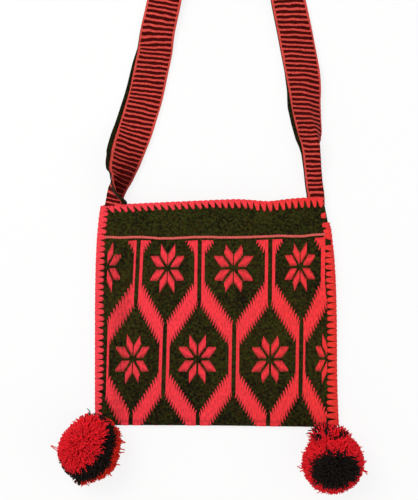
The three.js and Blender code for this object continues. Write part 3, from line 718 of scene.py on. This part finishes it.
def drift_group():
    """Slow change of dye over the bag: towards the right side, and in soft patches."""
    if "Dye Drift" in bpy.data.node_groups:
        return bpy.data.node_groups["Dye Drift"]
    sketch, given, result = new_group("Dye Drift", [], ["Right", "Patch"])
    parts = sketch.parts(given["Vector"])
    patch = sketch.noise(given["Vector"], 22, 3)
    wander = sketch.plus(parts[0], sketch.remap(patch, 0, 1, -0.05, 0.05))
    sketch.put(result["Right"], sketch.remap(wander, -0.1, 0.14))
    sketch.put(result["Patch"], sketch.remap(patch, 0.3, 0.7))
    return sketch.tree


def shaded(rgb, factor):
    return (*(value * factor for value in rgb), 1)


class Finish:
    """A wool material: its sketch, its coordinates and its shader."""

    def __init__(self, name):
        self.material = bpy.data.materials.new(name)
        self.sketch = blank_sketch(self.material)
        coordinates = self.sketch.node("ShaderNodeTexCoord").outputs
        self.object, self.uv = coordinates["Object"], coordinates["UV"]
        self.drift = self.sketch.group(drift_group(), Vector=self.object)

    def hair(self, fineness, vector=None):
        vector = self.object if vector is None else vector
        return self.sketch.group(wool_group(), Vector=vector, Fineness=fineness)

    def close(self, colour, height, depth, sheen=0.04):
        """Joins colour and height to a matt woollen shader."""
        sketch = self.sketch
        bump = sketch.out("ShaderNodeBump", {"Height": height, "Distance": depth, "Strength": 0.7})
        values = {"Base Color": colour, "Normal": bump, "Roughness": 0.95, "Specular IOR Level": 0.1}
        values.update({"Sheen Weight": sheen, "Sheen Roughness": 0.5})
        shader = sketch.out("ShaderNodeBsdfPrincipled", values)
        sketch.node("ShaderNodeOutputMaterial", {"Surface": shader})
        return self.material


def ground_finish(name, colours, light=1.0):
    """Dark olive wool of the cloth and the strap's tape, browner below the hem and darker near the fold."""
    darkest, palest = 0.1, 2.3 * light
    finish = Finish(name)
    sketch = finish.sketch
    weave = sketch.group(weave_group(), Vector=finish.uv, Across=0.0013, Along=0.0009)
    hair = finish.hair(360.0)
    height = sketch.parts(finish.object)[1]
    tint = sketch.plus(sketch.noise(finish.object, 330, 2), sketch.remap(height, 0.06, 0.1, 0, -0.06))
    brown = sketch.remap(tint, 0.4, 0.6)
    threads = sketch.times(weave["Shade"], 0.15)
    share = sketch.plus(threads, sketch.times(hair["Shade"], 0.85))
    near_fold = sketch.remap(height, -0.12, -0.07, -0.12, 0)
    patch = sketch.plus(sketch.remap(finish.drift["Patch"], 0, 1, -0.1, 0.12), near_fold)
    lit = sketch.remap(sketch.plus(share, patch), 0.2, 0.8)
    dark = sketch.blend(brown, shaded(colours.ground, darkest), shaded(colours.ground_brown, darkest))
    pale = sketch.blend(brown, shaded(colours.ground, palest), shaded(colours.ground_brown, palest))
    bumps = sketch.plus(weave["Height"], hair["Height"])
    return finish.close(sketch.blend(lit, dark, pale), bumps, depth=0.0005, sheen=0.015)


def yarn_finish(name, cool, warm, fineness, depth, woven=False):
    """Red yarn that turns warmer towards the bag's right side, streaked along its uv where it is woven."""
    darkest, palest = 0.7, 1.22
    finish = Finish(name)
    sketch = finish.sketch
    hair = finish.hair(fineness, sketch.stretched(finish.uv, 1, 0.3, 1) if woven else None)
    right = sketch.times(finish.drift["Right"], finish.drift["Right"])
    dark = sketch.blend(right, shaded(cool, darkest), shaded(warm, darkest))
    pale = sketch.blend(right, shaded(cool, palest), shaded(warm, palest))
    return finish.close(sketch.blend(hair["Shade"], dark, pale), hair["Height"], depth)


def brocade_finish(colours):
    """Red pattern yarn of the floats."""
    dyes = colours.brocade, colours.brocade_warm
    return yarn_finish("Red brocade yarn", *dyes, fineness=700.0, depth=0.0003, woven=True)


def edging_finish(colours):
    """Light red yarn of the edging stitches."""
    dyes = colours.edging, colours.edging_warm
    return yarn_finish("Light red edging yarn", *dyes, fineness=520.0, depth=0.0008)


def strap_finish(colours, sizes):
    """Striped band: red stripes across a dark ground, and a red selvedge along both edges.

    Near its left root, where the outer half folds over the band, the inner half gets painted shade: its
    colour is darkened towards the strap's dark dye and its red stripes are drawn thinner."""
    finish = Finish("Striped strap wool")
    sketch = finish.sketch
    hair = finish.hair(420.0)
    weave = sketch.group(weave_group(), Vector=finish.uv, Across=0.0014, Along=0.0030)
    wander = sketch.remap(sketch.noise(finish.object, 70, 2), 0.2, 0.8, -0.0011, 0.0011)
    parts = sketch.parts(finish.uv)
    along = sketch.math("DIVIDE", sketch.plus(parts[1], wander), sizes.stripe_pitch)
    phase = sketch.math("ABSOLUTE", sketch.math("SUBTRACT", sketch.math("FRACT", along), 0.5))
    # Painted shade: the distance from this point near the left root sets where the band's inner half is
    # darkened and its stripes thinned. It stands in for the shadow of the folded flap.
    left_root = (-0.096, 0.138, 0.012)
    ends = {0: finish.object, 1: left_root}
    root_shade_distance = sketch.node("ShaderNodeVectorMath", ends, operation="DISTANCE").outputs["Value"]
    inner = sketch.remap(parts[0], 0.016, 0.021, 1, 0)
    shade_thinning = sketch.times(sketch.remap(root_shade_distance, 0.012, 0.045, 0.09, 0), inner)
    stripe = sketch.remap(sketch.plus(phase, shade_thinning), 0.15, 0.23, 1, 0)
    edge = sketch.math("MINIMUM", parts[0], sketch.math("SUBTRACT", sizes.strap_width, parts[0]))
    selvedge = sketch.remap(sketch.plus(edge, wander), 0.0016, 0.0024, 1, 0)
    red = sketch.math("MAXIMUM", stripe, selvedge)
    pale = sketch.blend(hair["Shade"], shaded(colours.strap_red, 0.72), shaded(colours.strap_red, 1.25))
    dark = sketch.blend(hair["Shade"], shaded(colours.strap_dark, 0.45), shaded(colours.strap_dark, 1.25))
    worn = sketch.blend(sketch.times(finish.drift["Patch"], 0.35), pale, shaded(colours.strap_red, 0.6))
    striped = sketch.blend(red, dark, worn)
    # Painted shade of the flap on the inner half near the left root, blended towards the dark dye below.
    shade = sketch.times(sketch.remap(root_shade_distance, 0.012, 0.05, 0.6, 0), inner)
    ribs = sketch.plus(sketch.times(red, 1.4), sketch.plus(weave["Height"], hair["Height"]))
    with_painted_shade = sketch.blend(shade, striped, shaded(colours.strap_dark, 0.5))
    return finish.close(with_painted_shade, ribs, depth=0.0007, sheen=0)


def pompom_finish(name, rgb, spread):
    """Cut yarn of the pompoms, lighter and darker by the spread, with aged patches."""
    finish = Finish(name)
    sketch = finish.sketch
    hair = finish.hair(230.0)
    colour = sketch.blend(hair["Shade"], shaded(rgb, 1 - spread), shaded(rgb, 1 + spread))
    aged = sketch.blend(sketch.times(finish.drift["Patch"], 0.4), colour, shaded(rgb, 0.8))
    return finish.close(aged, hair["Height"], depth=0.0005)


class BAG_OT_cloth(bpy.types.Operator):
    """Make the folded cloth with its turned hem"""

    bl_idname = "bag.cloth"
    bl_label = "Cloth"
    bl_options = {"REGISTER", "UNDO"}

    def execute(self, context):
        scene = context.scene
        pouch = Pouch(scene.bag_pouch)

        def place(across, along):
            u = 2 * across - 1
            point = pouch.sheet_point(u, 1 - along)
            return point, (point.x, (along - 0.5) * 2 * pouch.height)

        mesh = grid_mesh("cloth", across=90, along=220, place=place)
        finish = ground_finish("Olive wool cloth", scene.bag_colours)
        cloth = make_piece("cloth", mesh, finish, ["bag_cloth"])
        add_wall(cloth, pouch.wall, offset=-1)
        return {"FINISHED"}


class BAG_OT_brocade(bpy.types.Operator):
    """Make the brocade: columns of pattern yarn in bands and stars"""

    bl_idname = "bag.brocade"
    bl_label = "Brocade"
    bl_options = {"REGISTER", "UNDO"}

    # How closely a column is searched, the shortest stretch that is laid, and the room below the hem.
    step = 0.4 * MM
    shortest = 1.6 * MM
    hem_room = 3.4 * MM
    # Length over which a strip narrows to its end, and how far a tooth's end leans sideways there.
    taper = 2.6 * MM
    tilt = 1.1 * MM

    def execute(self, context):
        scene = context.scene
        sizes = scene.bag_pattern
        pouch = Pouch(scene.bag_pouch)
        pattern = Pattern(sizes, pouch)
        finish = brocade_finish(scene.bag_colours)
        stars = [f"brocade_star_{k % 2 + 1}_{k + 1}" for k in range(pattern.chains)]
        bands = [f"brocade_band_{k + 1}" for k in range(pattern.chains - 1)]
        for name, test, tooth, margins, nodes in (
            ("brocade_bands", pattern.in_band, sizes.tooth, (7 * MM, 4.8 * MM), bands),
            ("brocade_stars", pattern.in_star, 0.0, (11 * MM, 9 * MM), stars),
        ):
            bm = bmesh.new()
            self.lay_columns(bm, pouch, pattern, test, sizes.column, tooth, margins)
            piece = make_piece(name, mesh_of(bm, name), finish, nodes)
            add_wall(piece, thickness=0.3 * MM, offset=-1)
        return {"FINISHED"}

    def lay_columns(self, bm, pouch, pattern, test, column, tooth, margins):
        """Lays a strip of yarn wherever the pattern is red along each column of the cloth."""
        count = int(2 * pouch.half / column)
        fold_end = pouch.fold_y - pouch.fold_length
        for i in range(count):
            x = (i - (count - 1) / 2) * column
            top = pouch.hem_y(x) - self.hem_room
            bottom = pouch.fold_y + fold_end - top
            shift = tooth if i % 2 else -tooth
            start = None
            t = top
            while t > bottom - self.step:
                level = t if t > pouch.fold_y else pouch.fold_y + max(0, fold_end - t)
                edge = pouch.half_width(x, (level - pouch.fold_y) / pouch.height) - margins[x > 0]
                red = t > bottom and abs(x + pattern.lean(x, t)) < edge
                red = red and test(x, t + shift - pattern.rise(x, t))
                if red and start is None:
                    start = t
                if not red and start is not None:
                    if start - t > self.shortest:
                        # A strip that starts under the hem is cut flat there.
                        upper = start + 8 * MM if start == top else start
                        place = self.strip_place(pouch, pattern, x, (upper, t), column, tooth > 0)
                        self.lay_strip(bm, place, (start, pouch.fold_y, fold_end, t))
                    start = None
                t -= self.step

    def lay_strip(self, bm, place, levels):
        """Lays a strip from its top to its bottom in up to three stretches: front, fold and back."""
        top, fold_start, fold_end, bottom = levels
        for high, low, segment in (
            (top, max(bottom, fold_start), 6 * MM),
            (min(top, fold_start), max(bottom, fold_end), 1.2 * MM),
            (min(top, fold_end), bottom, 8 * MM),
        ):
            if high > low:
                parts = max(2, math.ceil((high - low) / segment))
                mapped_grid(bm, 2, parts, lambda across, along: place(across, mix(low, high, along)))

    def strip_place(self, pouch, pattern, x, ends, column, toothed):
        """Places the points of a strip, rounded across, and narrow and drawn in near the strip's ends."""
        tilt = self.tilt if toothed else 0
        leans = -tilt * pattern.slope(x, ends[0]), tilt * pattern.slope(x, ends[1])

        def place(across, t):
            side = 2 * across - 1
            inset = min(ends[0] - t, t - ends[1])
            full = smooth(inset / self.taper)
            lift = (0.12 + 0.25 * (1 - side * side) * smooth((inset + 0.3 * MM) / MM)) * MM
            at = x + side * mix(0.26, 0.5, full) * column + leans[2 * t < sum(ends)] * (1 - full)
            return pouch.pattern_point(at + pattern.lean(x, t), t, lift), (at, t)

        return place


class BAG_OT_hem_cord(bpy.types.Operator):
    """Make the red cord along the lower edge of the hem"""

    bl_idname = "bag.hem_cord"
    bl_label = "Hem cord"
    bl_options = {"REGISTER", "UNDO"}

    # Ends of the cord as shares of the pouch's half width.
    ends = (-0.945, 0.955)
    steps = 260

    def execute(self, context):
        scene = context.scene
        pouch = Pouch(scene.bag_pouch)
        path = []
        for i in range(self.steps + 1):
            x = mix(*self.ends, i / self.steps) * pouch.half_width(i - self.steps / 2, pouch.hem_v)
            y = pouch.hem_y(x) + 0.3 * MM * noise.noise(Vector((x * 90, 0, 7)))
            u, v = pouch.uv_at(x, y)
            path.append(Vector((x, y, pouch.front_z(u, v - 0.006) + 0.9 * MM)))
        mesh = yarn_mesh("hem_yarn", plied(path, radius=0.95 * MM, pitch=6 * MM))
        hem = scene.bag_colours.hem
        finish = yarn_finish("Pale red hem cord", hem, hem, fineness=700.0, depth=0.0004)
        make_piece("hem_yarn", mesh, finish, ["hem_cord"])
        return {"FINISHED"}


def make_edging(kind, name, runs, finish):
    """Makes the piece of one edging from the runs of its yarn."""
    piece = f"{kind}_stitches_{name}"
    make_piece(piece, yarn_mesh(piece, runs, roundness=2), finish, [f"{kind}_edging_{name}"])


class BAG_OT_side_edging(bpy.types.Operator):
    """Make the yarn that joins the two sides"""

    bl_idname = "bag.side_edging"
    bl_label = "Side edging"
    bl_options = {"REGISTER", "UNDO"}

    # Height, reach and start of the few loose stitches near the mouth on the right side.
    loose = ((0.836, 7, -1.3), (0.859, 6.6, -1.3), (0.884, 7.2, -0.6), (0.927, 6.2, 1.6))
    cord_steps = 120

    def execute(self, context):
        scene = context.scene
        pouch = Pouch(scene.bag_pouch)
        finish = edging_finish(scene.bag_colours)
        for name, side in (("left", -1), ("right", 1)):
            runs = self.stitches(pouch, scene.bag_yarn.side_pitch, side, random.Random(31 + side))
            make_edging("side", name, runs, finish)
        return {"FINISHED"}

    def stitches(self, pouch, pitch, side, rng):
        count = round(pouch.height / pitch)
        top = 0.99 if side < 0 else 0.81
        reaches = (5.6, 7.4) if side < 0 else (10.6, 8.6)
        runs = []
        for i in range(count):
            v = (i + 0.5) / count
            if v < top:
                reach = mix(*reaches, smooth((v - 0.05) / 0.2)) * rng.uniform(0.93, 1.06) * MM
                runs += self.stitch(pouch, side, v, reach, rng)
        for v, reach, start in self.loose if side > 0 else ():
            runs += self.stitch(pouch, side, v, reach * MM, rng, start * MM)
        path = []
        end = 1 if side < 0 else 0.88
        for i in range(self.cord_steps + 1):
            v = end * i / self.cord_steps
            middle = (pouch.front_z(side, v) + pouch.back_z(side, v)) / 2
            path.append(Vector((side * (pouch.half_width(side, v) + 0.9 * MM), pouch.y(side, v), middle)))
        return runs + plied(path, radius=1.1 * MM, pitch=11 * MM)

    def stitch(self, pouch, side, v, reach, rng, start=-1.3 * MM):
        """One stitch from the back round the edge, or from start when that lies on the front."""
        half, y = pouch.half_width(side, v), pouch.y(side, v)
        front, back = pouch.front_z(side * 0.97, v), pouch.back_z(side * 0.97, v)

        def at(inward, height):
            return Vector((side * (half - inward), y, height))

        knots = [(at(start, front - 0.3 * MM), 0.9, 0)]
        if start < 0:
            knots = [
                (at(4.5 * MM, back - 0.4 * MM), 1, 0),
                (at(start, (front + back) / 2), 1, 0),
                (at(1.2 * MM, front + 0.7 * MM), 0.95, 0),
            ]
        knots.append((at(0.56 * (reach + start), front + 0.9 * MM), 0.72, 0.5))
        knots.append((at(reach, front + 0.3 * MM), 0.42, 1))
        thick = rng.uniform(1.3, 1.45) * MM
        slant = rng.uniform(-0.7, 0.7) * MM
        return fan_stitch(Vector((0, 1, 0)), knots, spread=2.2 * MM, slant=slant, thick=thick)


class BAG_OT_mouth_edging(bpy.types.Operator):
    """Make the yarn stitched over the two lips of the mouth"""

    bl_idname = "bag.mouth_edging"
    bl_label = "Mouth edging"
    bl_options = {"REGISTER", "UNDO"}

    cord_steps = 160

    def execute(self, context):
        scene = context.scene
        pouch = Pouch(scene.bag_pouch)
        finish = edging_finish(scene.bag_colours)
        for name, out in (("front", 1), ("back", -1)):
            runs = self.stitches(pouch, scene.bag_yarn.mouth_pitch, out, random.Random(57 + out))
            make_edging("mouth", name, runs, finish)
        return {"FINISHED"}

    def stitches(self, pouch, pitch, out, rng):
        width = pouch.half_width(-1, 1) + pouch.half_width(1, 1)
        count = round(0.95 * width / pitch)
        runs = []
        for i in range(count + 1):
            u = mix(-0.93, 0.972, i / count)
            last = i == count
            slant = (mix(3.2, 1.6, smooth((u + 0.6) / 1.2)) + rng.uniform(-0.4, 0.4)) * MM
            reach = (7.6 + 2.3 * smooth((u + 0.1) / 0.6) + rng.uniform(-0.5, 0.5)) * MM
            thick = 1.75 * MM if last else rng.uniform(1.22, 1.38) * MM
            runs += self.stitch(pouch, u, out, reach, slant, thick)
        runs += self.stitch(pouch, -0.975, out, reach=5.4 * MM, slant=0.6 * MM, thick=1.3 * MM)
        path = []
        for i in range(self.cord_steps + 1):
            u = mix(-0.995, 0.985, i / self.cord_steps)
            outer, inner = self.lip(pouch, u, out)
            path.append(Vector((pouch.x(u, 1), pouch.y(u, 1) - 0.45 * MM, mix(outer, inner, 0.35))))
        return runs + plied(path, radius=1.15 * MM, pitch=12 * MM)

    def stitch(self, pouch, u, out, reach, slant, thick):
        """One stitch from inside the lip, over its edge and down its outer face."""
        x, y = pouch.x(u, 1), pouch.y(u, 1)
        outer, inner = self.lip(pouch, u, out)

        def at(inward, height):
            return Vector((x, y - inward, height))

        knots = [
            (at(3 * MM, inner - out * 0.4 * MM), 1, 0),
            (at(0.2 * MM, (outer + inner) / 2), 1, 0),
            (at(1.8 * MM, outer + out * 0.8 * MM), 0.88, 0.05),
            (at(0.56 * reach, outer + out * 1.0 * MM), 0.46, 0.5),
            (at(reach, outer + out * 0.4 * MM), 0.2, 1),
        ]
        return fan_stitch(Vector((1, 0, 0)), knots, spread=2.3 * MM, slant=slant, thick=thick)

    def lip(self, pouch, u, out):
        """Heights of a lip's outer and inner face."""
        if out > 0:
            outer = pouch.front_z(u, 1)
            return outer, outer - pouch.wall
        outer = pouch.back_z(u, 1)
        return outer, outer + pouch.wall


class BAG_OT_strap(bpy.types.Operator):
    """Make the striped strap and the plain tape behind it"""

    bl_idname = "bag.strap"
    bl_label = "Strap"
    bl_options = {"REGISTER", "UNDO"}

    # Height of a stripe's rib, thickness of the tape, and the room between the tape and the band.
    rib = 0.16 * MM
    tape_wall = 0.8 * MM
    tape_room = 0.5 * MM

    def execute(self, context):
        scene = context.scene
        sizes, colours = scene.bag_yarn, scene.bag_colours
        strap = Strap(sizes)
        rows = 4 * round(strap.length / sizes.stripe_pitch)
        marks = [strap.at_length(i / rows) for i in range(rows + 1)]
        places = [strap.frame(s) for s in marks]
        trims = [strap.trim_at(s) for s in marks]

        def on_band(across, along):
            row = round(along * rows)
            a = strap.width * (1 - across)
            length = along * strap.length + trims[row].z * (a + 0.25 * a * a / strap.width)
            rib = self.rib * math.cos(2 * math.pi * (length / sizes.stripe_pitch - 0.5))
            return strap.point(places[row], a, rib), (a, length)

        mesh = grid_mesh("striped_band", across=26, along=rows, place=on_band)
        nodes = ["strap_band", "strap_stripes"]
        band = make_piece("striped_band", mesh, strap_finish(colours, sizes), nodes)
        add_wall(band, strap.wall, offset=0)

        def on_tape(across, along):
            row = round(along * rows)
            a = mix(trims[row].y, trims[row].x, across) * MM
            return strap.point(places[row], a, -strap.wall / 2 - self.tape_room), (a, along * strap.length)

        mesh = grid_mesh("strap_tape", across=12, along=rows, place=on_tape)
        finish = ground_finish("Olive wool tape", colours, light=0.5)
        tape = make_piece("strap_tape", mesh, finish, ["strap_lining"])
        add_wall(tape, self.tape_wall, offset=-1)
        return {"FINISHED"}


# For each pompom its middle, the way its cap looks, the way along which the zones are drawn long (its
# length squared is the share), the way in which the cap reaches further (its length is the degrees), and
# the bumps of its outline: way, change of reach, where that starts and over what width, both as cosines.
# The first bump is the neck at the tie.
POMPOMS = {
    "left": (
        Vector((-138.2, -149.9, 32.5)) * MM,
        Vector((-0.56, 0.34, 0.75)).normalized(),
        Vector((0.21, 0.46, 0)),
        Vector((4, 13, 0)),
        (
            (Vector((0.46, 0.89, 0)), 0.2, 0.45, 0.5),
            (Vector((-0.24, -0.97, 0)), 0.14, 0.95, 0.045),
        ),
    ),
    "right": (
        Vector((126.9, -162.8, 32.5)) * MM,
        Vector((0.12, -0.27, 0.95)).normalized(),
        Vector((0.65, 0, 0)),
        Vector((-6, 6, 0)),
        (
            (Vector((-0.1, 0.99, 0)), 0.2, 0.74, 0.22),
            (Vector((-0.47, 0.88, 0)), 0.12, 0.914, 0.06),
            (Vector((-0.83, 0.56, 0)), -0.17, 0.955, 0.035),
        ),
    ),
}

# Side, zone, root and tip of each loop of yarn that was pulled out of a pompom.
STRAY_LOOPS = (
    ("left", 0, Vector((-170, -150, 33)) * MM, Vector((-179, -144, 35)) * MM),
    ("left", 2, Vector((-109, -140, 33)) * MM, Vector((-98.4, -140.6, 34)) * MM),
)


class BAG_OT_pompoms(bpy.types.Operator):
    """Make the two pompoms of cut yarn"""

    bl_idname = "bag.pompoms"
    bl_label = "Pompoms"
    bl_options = {"REGISTER", "UNDO"}

    loop_half_width = 1.1 * MM
    loop_thick = 0.55 * MM
    # Lowest height of the yarn, and its reach towards the bag: short below low, full above high.
    floor_room = 1.2 * MM
    short, full = 18 * MM, 45 * MM
    low, high = 10 * MM, 22 * MM
    # Radius of the core under the yarn and share of the yarns that stand out of the rest.
    core_share = 0.76
    stray_share = 0.008
    # Where the neck begins, as a cosine, and the noise above which the cap's yarn shows there.
    neck_start = 0.82
    neck_patch = 0.12

    def execute(self, context):
        scene = context.scene
        sizes, colours = scene.bag_yarn, scene.bag_colours
        red = pompom_finish("Red pompom yarn", colours.pompom_red, spread=0.22)
        rim = pompom_finish("Warm red pompom yarn", colours.pompom_rim, spread=0.25)
        black = pompom_finish("Black pompom yarn", colours.pompom_black, spread=0.5)
        left = (("cap", 58, red), ("ring", 96, black), ("rim", 180, rim))
        right = (("cap", 38, black), ("rim", 180, red))
        for side, zones, core_finish, seed in (("left", left, red, 11), ("right", right, black, 23)):
            limits = [limit for zone, limit, finish in zones]
            runs = self.strands(sizes, POMPOMS[side], limits, random.Random(seed))
            for stray, zone, root, tip in STRAY_LOOPS:
                if stray == side:
                    across = (tip - root).cross(UP).normalized() * self.loop_half_width
                    runs[zone].append(arc_run(root, across, tip - root, math.pi, self.loop_thick))
            body = f"{side}_pompom"
            for (zone, limit, finish), zone_runs in zip(zones, runs):
                name = f"{body}_{zone}_yarn"
                mesh = yarn_mesh(name, zone_runs, roundness=0)
                make_piece(name, mesh, finish, [f"pompom_{side}_{zone}"], body)
            bm = bmesh.new()
            bmesh.ops.create_icosphere(bm, subdivisions=4, radius=self.core_share * sizes.pompom_radius)
            bmesh.ops.translate(bm, verts=bm.verts, vec=POMPOMS[side][0])
            core = f"{body}_core"
            make_piece(core, mesh_of(bm, core), core_finish, [], body)
        return {"FINISHED"}

    def strands(self, sizes, place, limits, rng):
        """Runs of cut yarn for each zone. They lean away from the axis towards their ends."""
        middle, axis, long, spread, bumps = place
        neck = bumps[0][0]
        runs = [[] for limit in limits]
        radius, count = sizes.pompom_radius, sizes.pompom_strands
        turn = UP.rotation_difference(axis)
        for i in range(count):
            height = 1 - 2 * (i + 0.5) / count
            spin = i * math.pi * (3 - math.sqrt(5))
            ring = math.sqrt(1 - height * height)
            way = turn @ Vector((ring * math.cos(spin), ring * math.sin(spin), height))
            way = (way + self.jitter(rng, 0.05)).normalized()
            angle = math.degrees(axis.angle(way - long * way.dot(long))) + rng.uniform(-3, 3)
            bounds = [limits[0] + spread.dot(way), *limits[1:]]
            zone = next((k for k, bound in enumerate(bounds) if angle <= bound), len(bounds) - 1)
            in_neck = way.dot(neck) > self.neck_start and noise.noise(way * 5) > self.neck_patch
            if len(limits) == 2 and in_neck:
                # Some of the cap's yarn also shows at the neck of a pompom with two zones.
                zone = 0
            away = way - axis * axis.dot(way)
            lean = away * rng.uniform(0.05, 0.36)
            stands_out = rng.random() < self.stray_share
            reach = radius * (rng.uniform(1.06, 1.16) if stands_out else rng.uniform(0.92, 1.02))
            for bump, change, start, width in bumps:
                reach *= 1 + change * smooth((way.dot(bump) - start) / width)
            bent = (way + lean + self.jitter(rng, 0.1)).normalized()
            points = [
                middle + way * radius * 0.55,
                middle + (way + lean * 0.25).normalized() * radius * 0.78,
                middle + (way + bent).normalized() * reach * 0.93,
                middle + bent * reach,
            ]
            for point in points:
                self.clear(point, middle, neck)
            thick = rng.uniform(0.52, 0.7) * MM
            runs[zone].append(list(zip(points, (thick, thick, thick, thick * 0.8))))
        return runs

    def clear(self, point, middle, neck):
        """Keep a point off the floor, and away from the bag's low edge through the whole swing."""
        point.z = max(point.z, self.floor_room)
        flat = Vector((point.x - middle.x, point.y - middle.y, 0))
        room = mix(self.short, self.full, smooth((point.z - self.low) / (self.high - self.low)))
        facing = smooth((flat.normalized().dot(neck) - 0.05) / 0.25)
        if flat.length > room:
            point += flat * (room / flat.length - 1) * facing

    def jitter(self, rng, size):
        return Vector([rng.gauss(0, size) for axis in range(3)])


class BAG_OT_ties(bpy.types.Operator):
    """Make the yarn that ties each pompom to its corner"""

    bl_idname = "bag.ties"
    bl_label = "Ties"
    bl_options = {"REGISTER", "UNDO"}

    # Place of the corner that a tie starts from, and the knot's distance from it in millimetres.
    corner_inset = 2 * MM
    corner_height = 7 * MM
    knot_distance = 4.9
    knot_radius = 1.7 * MM
    knot_thick = 0.9 * MM
    # How far a tie reaches towards the middle of its pompom.
    depth = 0.8
    steps = 30

    def execute(self, context):
        scene = context.scene
        pouch = Pouch(scene.bag_pouch)
        red = pompom_finish("Red tie yarn", scene.bag_colours.pompom_red, spread=0.2)
        for side, way in (("left", -1), ("right", 1)):
            middle = POMPOMS[side][0]
            corner = Vector((way * (pouch.half - self.corner_inset), pouch.fold_y, self.corner_height))
            heading = (middle - corner).normalized()
            knot = corner + heading * self.knot_distance * MM
            path = [mix(knot, middle, self.depth * i / self.steps) for i in range(self.steps + 1)]
            runs = plied(path, radius=0.95 * MM, pitch=6 * MM)
            for degrees in (0, 60, 120):
                first = Quaternion(heading, math.radians(degrees)) @ heading.orthogonal().normalized()
                second = (heading + first.cross(heading) * 0.4).normalized()
                size = self.knot_radius
                runs.append(arc_run(knot, first * size, second * size, 2 * math.pi, self.knot_thick))
            body = f"{side}_pompom"
            name = f"{body}_tie"
            make_piece(name, yarn_mesh(name, runs), red, [f"pompom_tie_{side}"], body)
        return {"FINISHED"}


class BAG_OT_stage(bpy.types.Operator):
    """Make the pale floor, the lights and the camera"""

    bl_idname = "bag.stage"
    bl_label = "Stage"
    bl_options = {"REGISTER", "UNDO"}

    floor_half = 4
    floor_height = -0.3 * MM
    # Name, place, diameter, power and tint of each light.
    lights = (
        ("key", (-0.75, 0.75, 1.7), 1.3, 20, (1, 0.985, 0.97)),
        ("fill", (1.1, -0.5, 1.4), 1.6, 5, (1, 0.97, 0.94)),
    )
    camera_place = (-7.7 * MM, 68.2 * MM, 1.6)
    camera_lens = 103.9

    def execute(self, context):
        scene = context.scene
        scene.view_settings.view_transform = "Standard"
        bm = bmesh.new()
        bmesh.ops.create_grid(bm, x_segments=1, y_segments=1, size=self.floor_half)
        bmesh.ops.translate(bm, verts=bm.verts, vec=(0, 0, self.floor_height))
        mesh = mesh_of(bm, "floor")
        mesh.materials.append(self.floor_finish())
        floor = linked("floor", mesh)
        for light in self.lights:
            self.light(*light)
        self.surround(scene)
        camera = bpy.data.cameras.new("camera")
        camera.sensor_width = 36
        camera.lens = self.camera_lens
        scene.camera = linked("camera", camera)
        scene.camera.location = self.camera_place
        return {"FINISHED"}

    def light(self, name, place, size, power, tint):
        lamp = bpy.data.lights.new(name, "AREA")
        lamp.shape = "DISK"
        lamp.size = size
        lamp.energy = power
        lamp.color = tint
        holder = linked(name, lamp)
        holder.location = place
        holder.rotation_euler = (-Vector(place)).to_track_quat("-Z", "Y").to_euler()

    def seen(self, sketch):
        """1 where the camera, a reflection or a clear surface looks straight at it."""
        path = sketch.node("ShaderNodeLightPath").outputs
        straight = sketch.plus(path["Is Camera Ray"], path["Is Glossy Ray"])
        return sketch.math("MINIMUM", sketch.plus(straight, path["Is Transmission Ray"]), 1.0)

    def floor_finish(self):
        material = bpy.data.materials.new("Pale floor")
        sketch = blank_sketch(material)
        paper = sketch.out("ShaderNodeBsdfDiffuse", {"Color": (0.92, 0.92, 0.92, 1)})
        glow = sketch.out("ShaderNodeEmission", {"Color": (1, 1, 1, 1), "Strength": 1.0})
        share = sketch.times(self.seen(sketch), 0.82)
        both = sketch.out("ShaderNodeMixShader", {0: share, 1: paper, 2: glow})
        sketch.node("ShaderNodeOutputMaterial", {"Surface": both})
        return material

    def surround(self, scene):
        scene.world = bpy.data.worlds.new("Studio")
        sketch = blank_sketch(scene.world)
        dim = sketch.out("ShaderNodeBackground", {"Color": (1, 1, 1, 1), "Strength": 0.55})
        white = sketch.out("ShaderNodeBackground", {"Color": (1, 1, 1, 1), "Strength": 1.0})
        both = sketch.out("ShaderNodeMixShader", {0: self.seen(sketch), 1: dim, 2: white})
        sketch.node("ShaderNodeOutputWorld", {"Surface": both})


SETTINGS = {
    "bag_pouch": BagPouchSizes,
    "bag_pattern": BagPatternSizes,
    "bag_yarn": BagYarnSizes,
    "bag_colours": BagColours,
}

OPERATORS = (
    BAG_OT_stage,
    BAG_OT_cloth,
    BAG_OT_brocade,
    BAG_OT_hem_cord,
    BAG_OT_side_edging,
    BAG_OT_mouth_edging,
    BAG_OT_strap,
    BAG_OT_pompoms,
    BAG_OT_ties,
)


class BAG_PT_pieces(bpy.types.Panel):
    """Pieces of the bag with their sizes and dyes"""

    bl_idname = "BAG_PT_pieces"
    bl_label = "Woven Shoulder Bag"
    bl_space_type = "VIEW_3D"
    bl_region_type = "UI"
    bl_category = "Bag"

    def draw(self, context):
        column = self.layout.column(align=True)
        for operator in OPERATORS:
            column.operator(operator.bl_idname)
        for name, group in SETTINGS.items():
            box = self.layout.box()
            box.label(text=group.__doc__)
            for key in group.__annotations__:
                box.prop(getattr(context.scene, name), key)


def register():
    for group in SETTINGS.values():
        bpy.utils.register_class(group)
    for name, group in SETTINGS.items():
        setattr(bpy.types.Scene, name, PointerProperty(type=group))
    for operator in OPERATORS:
        bpy.utils.register_class(operator)
    bpy.utils.register_class(BAG_PT_pieces)


def unregister():
    bpy.utils.unregister_class(BAG_PT_pieces)
    for operator in reversed(OPERATORS):
        bpy.utils.unregister_class(operator)
    for name, group in SETTINGS.items():
        delattr(bpy.types.Scene, name)
        bpy.utils.unregister_class(group)


def main():
    register()
    bpy.ops.bag.stage()
    bpy.ops.bag.cloth()
    bpy.ops.bag.brocade()
    bpy.ops.bag.hem_cord()
    bpy.ops.bag.side_edging()
    bpy.ops.bag.mouth_edging()
    bpy.ops.bag.strap()
    bpy.ops.bag.pompoms()
    bpy.ops.bag.ties()
    bpy.context.view_layer.update()


if __name__ == "__main__":
    main()
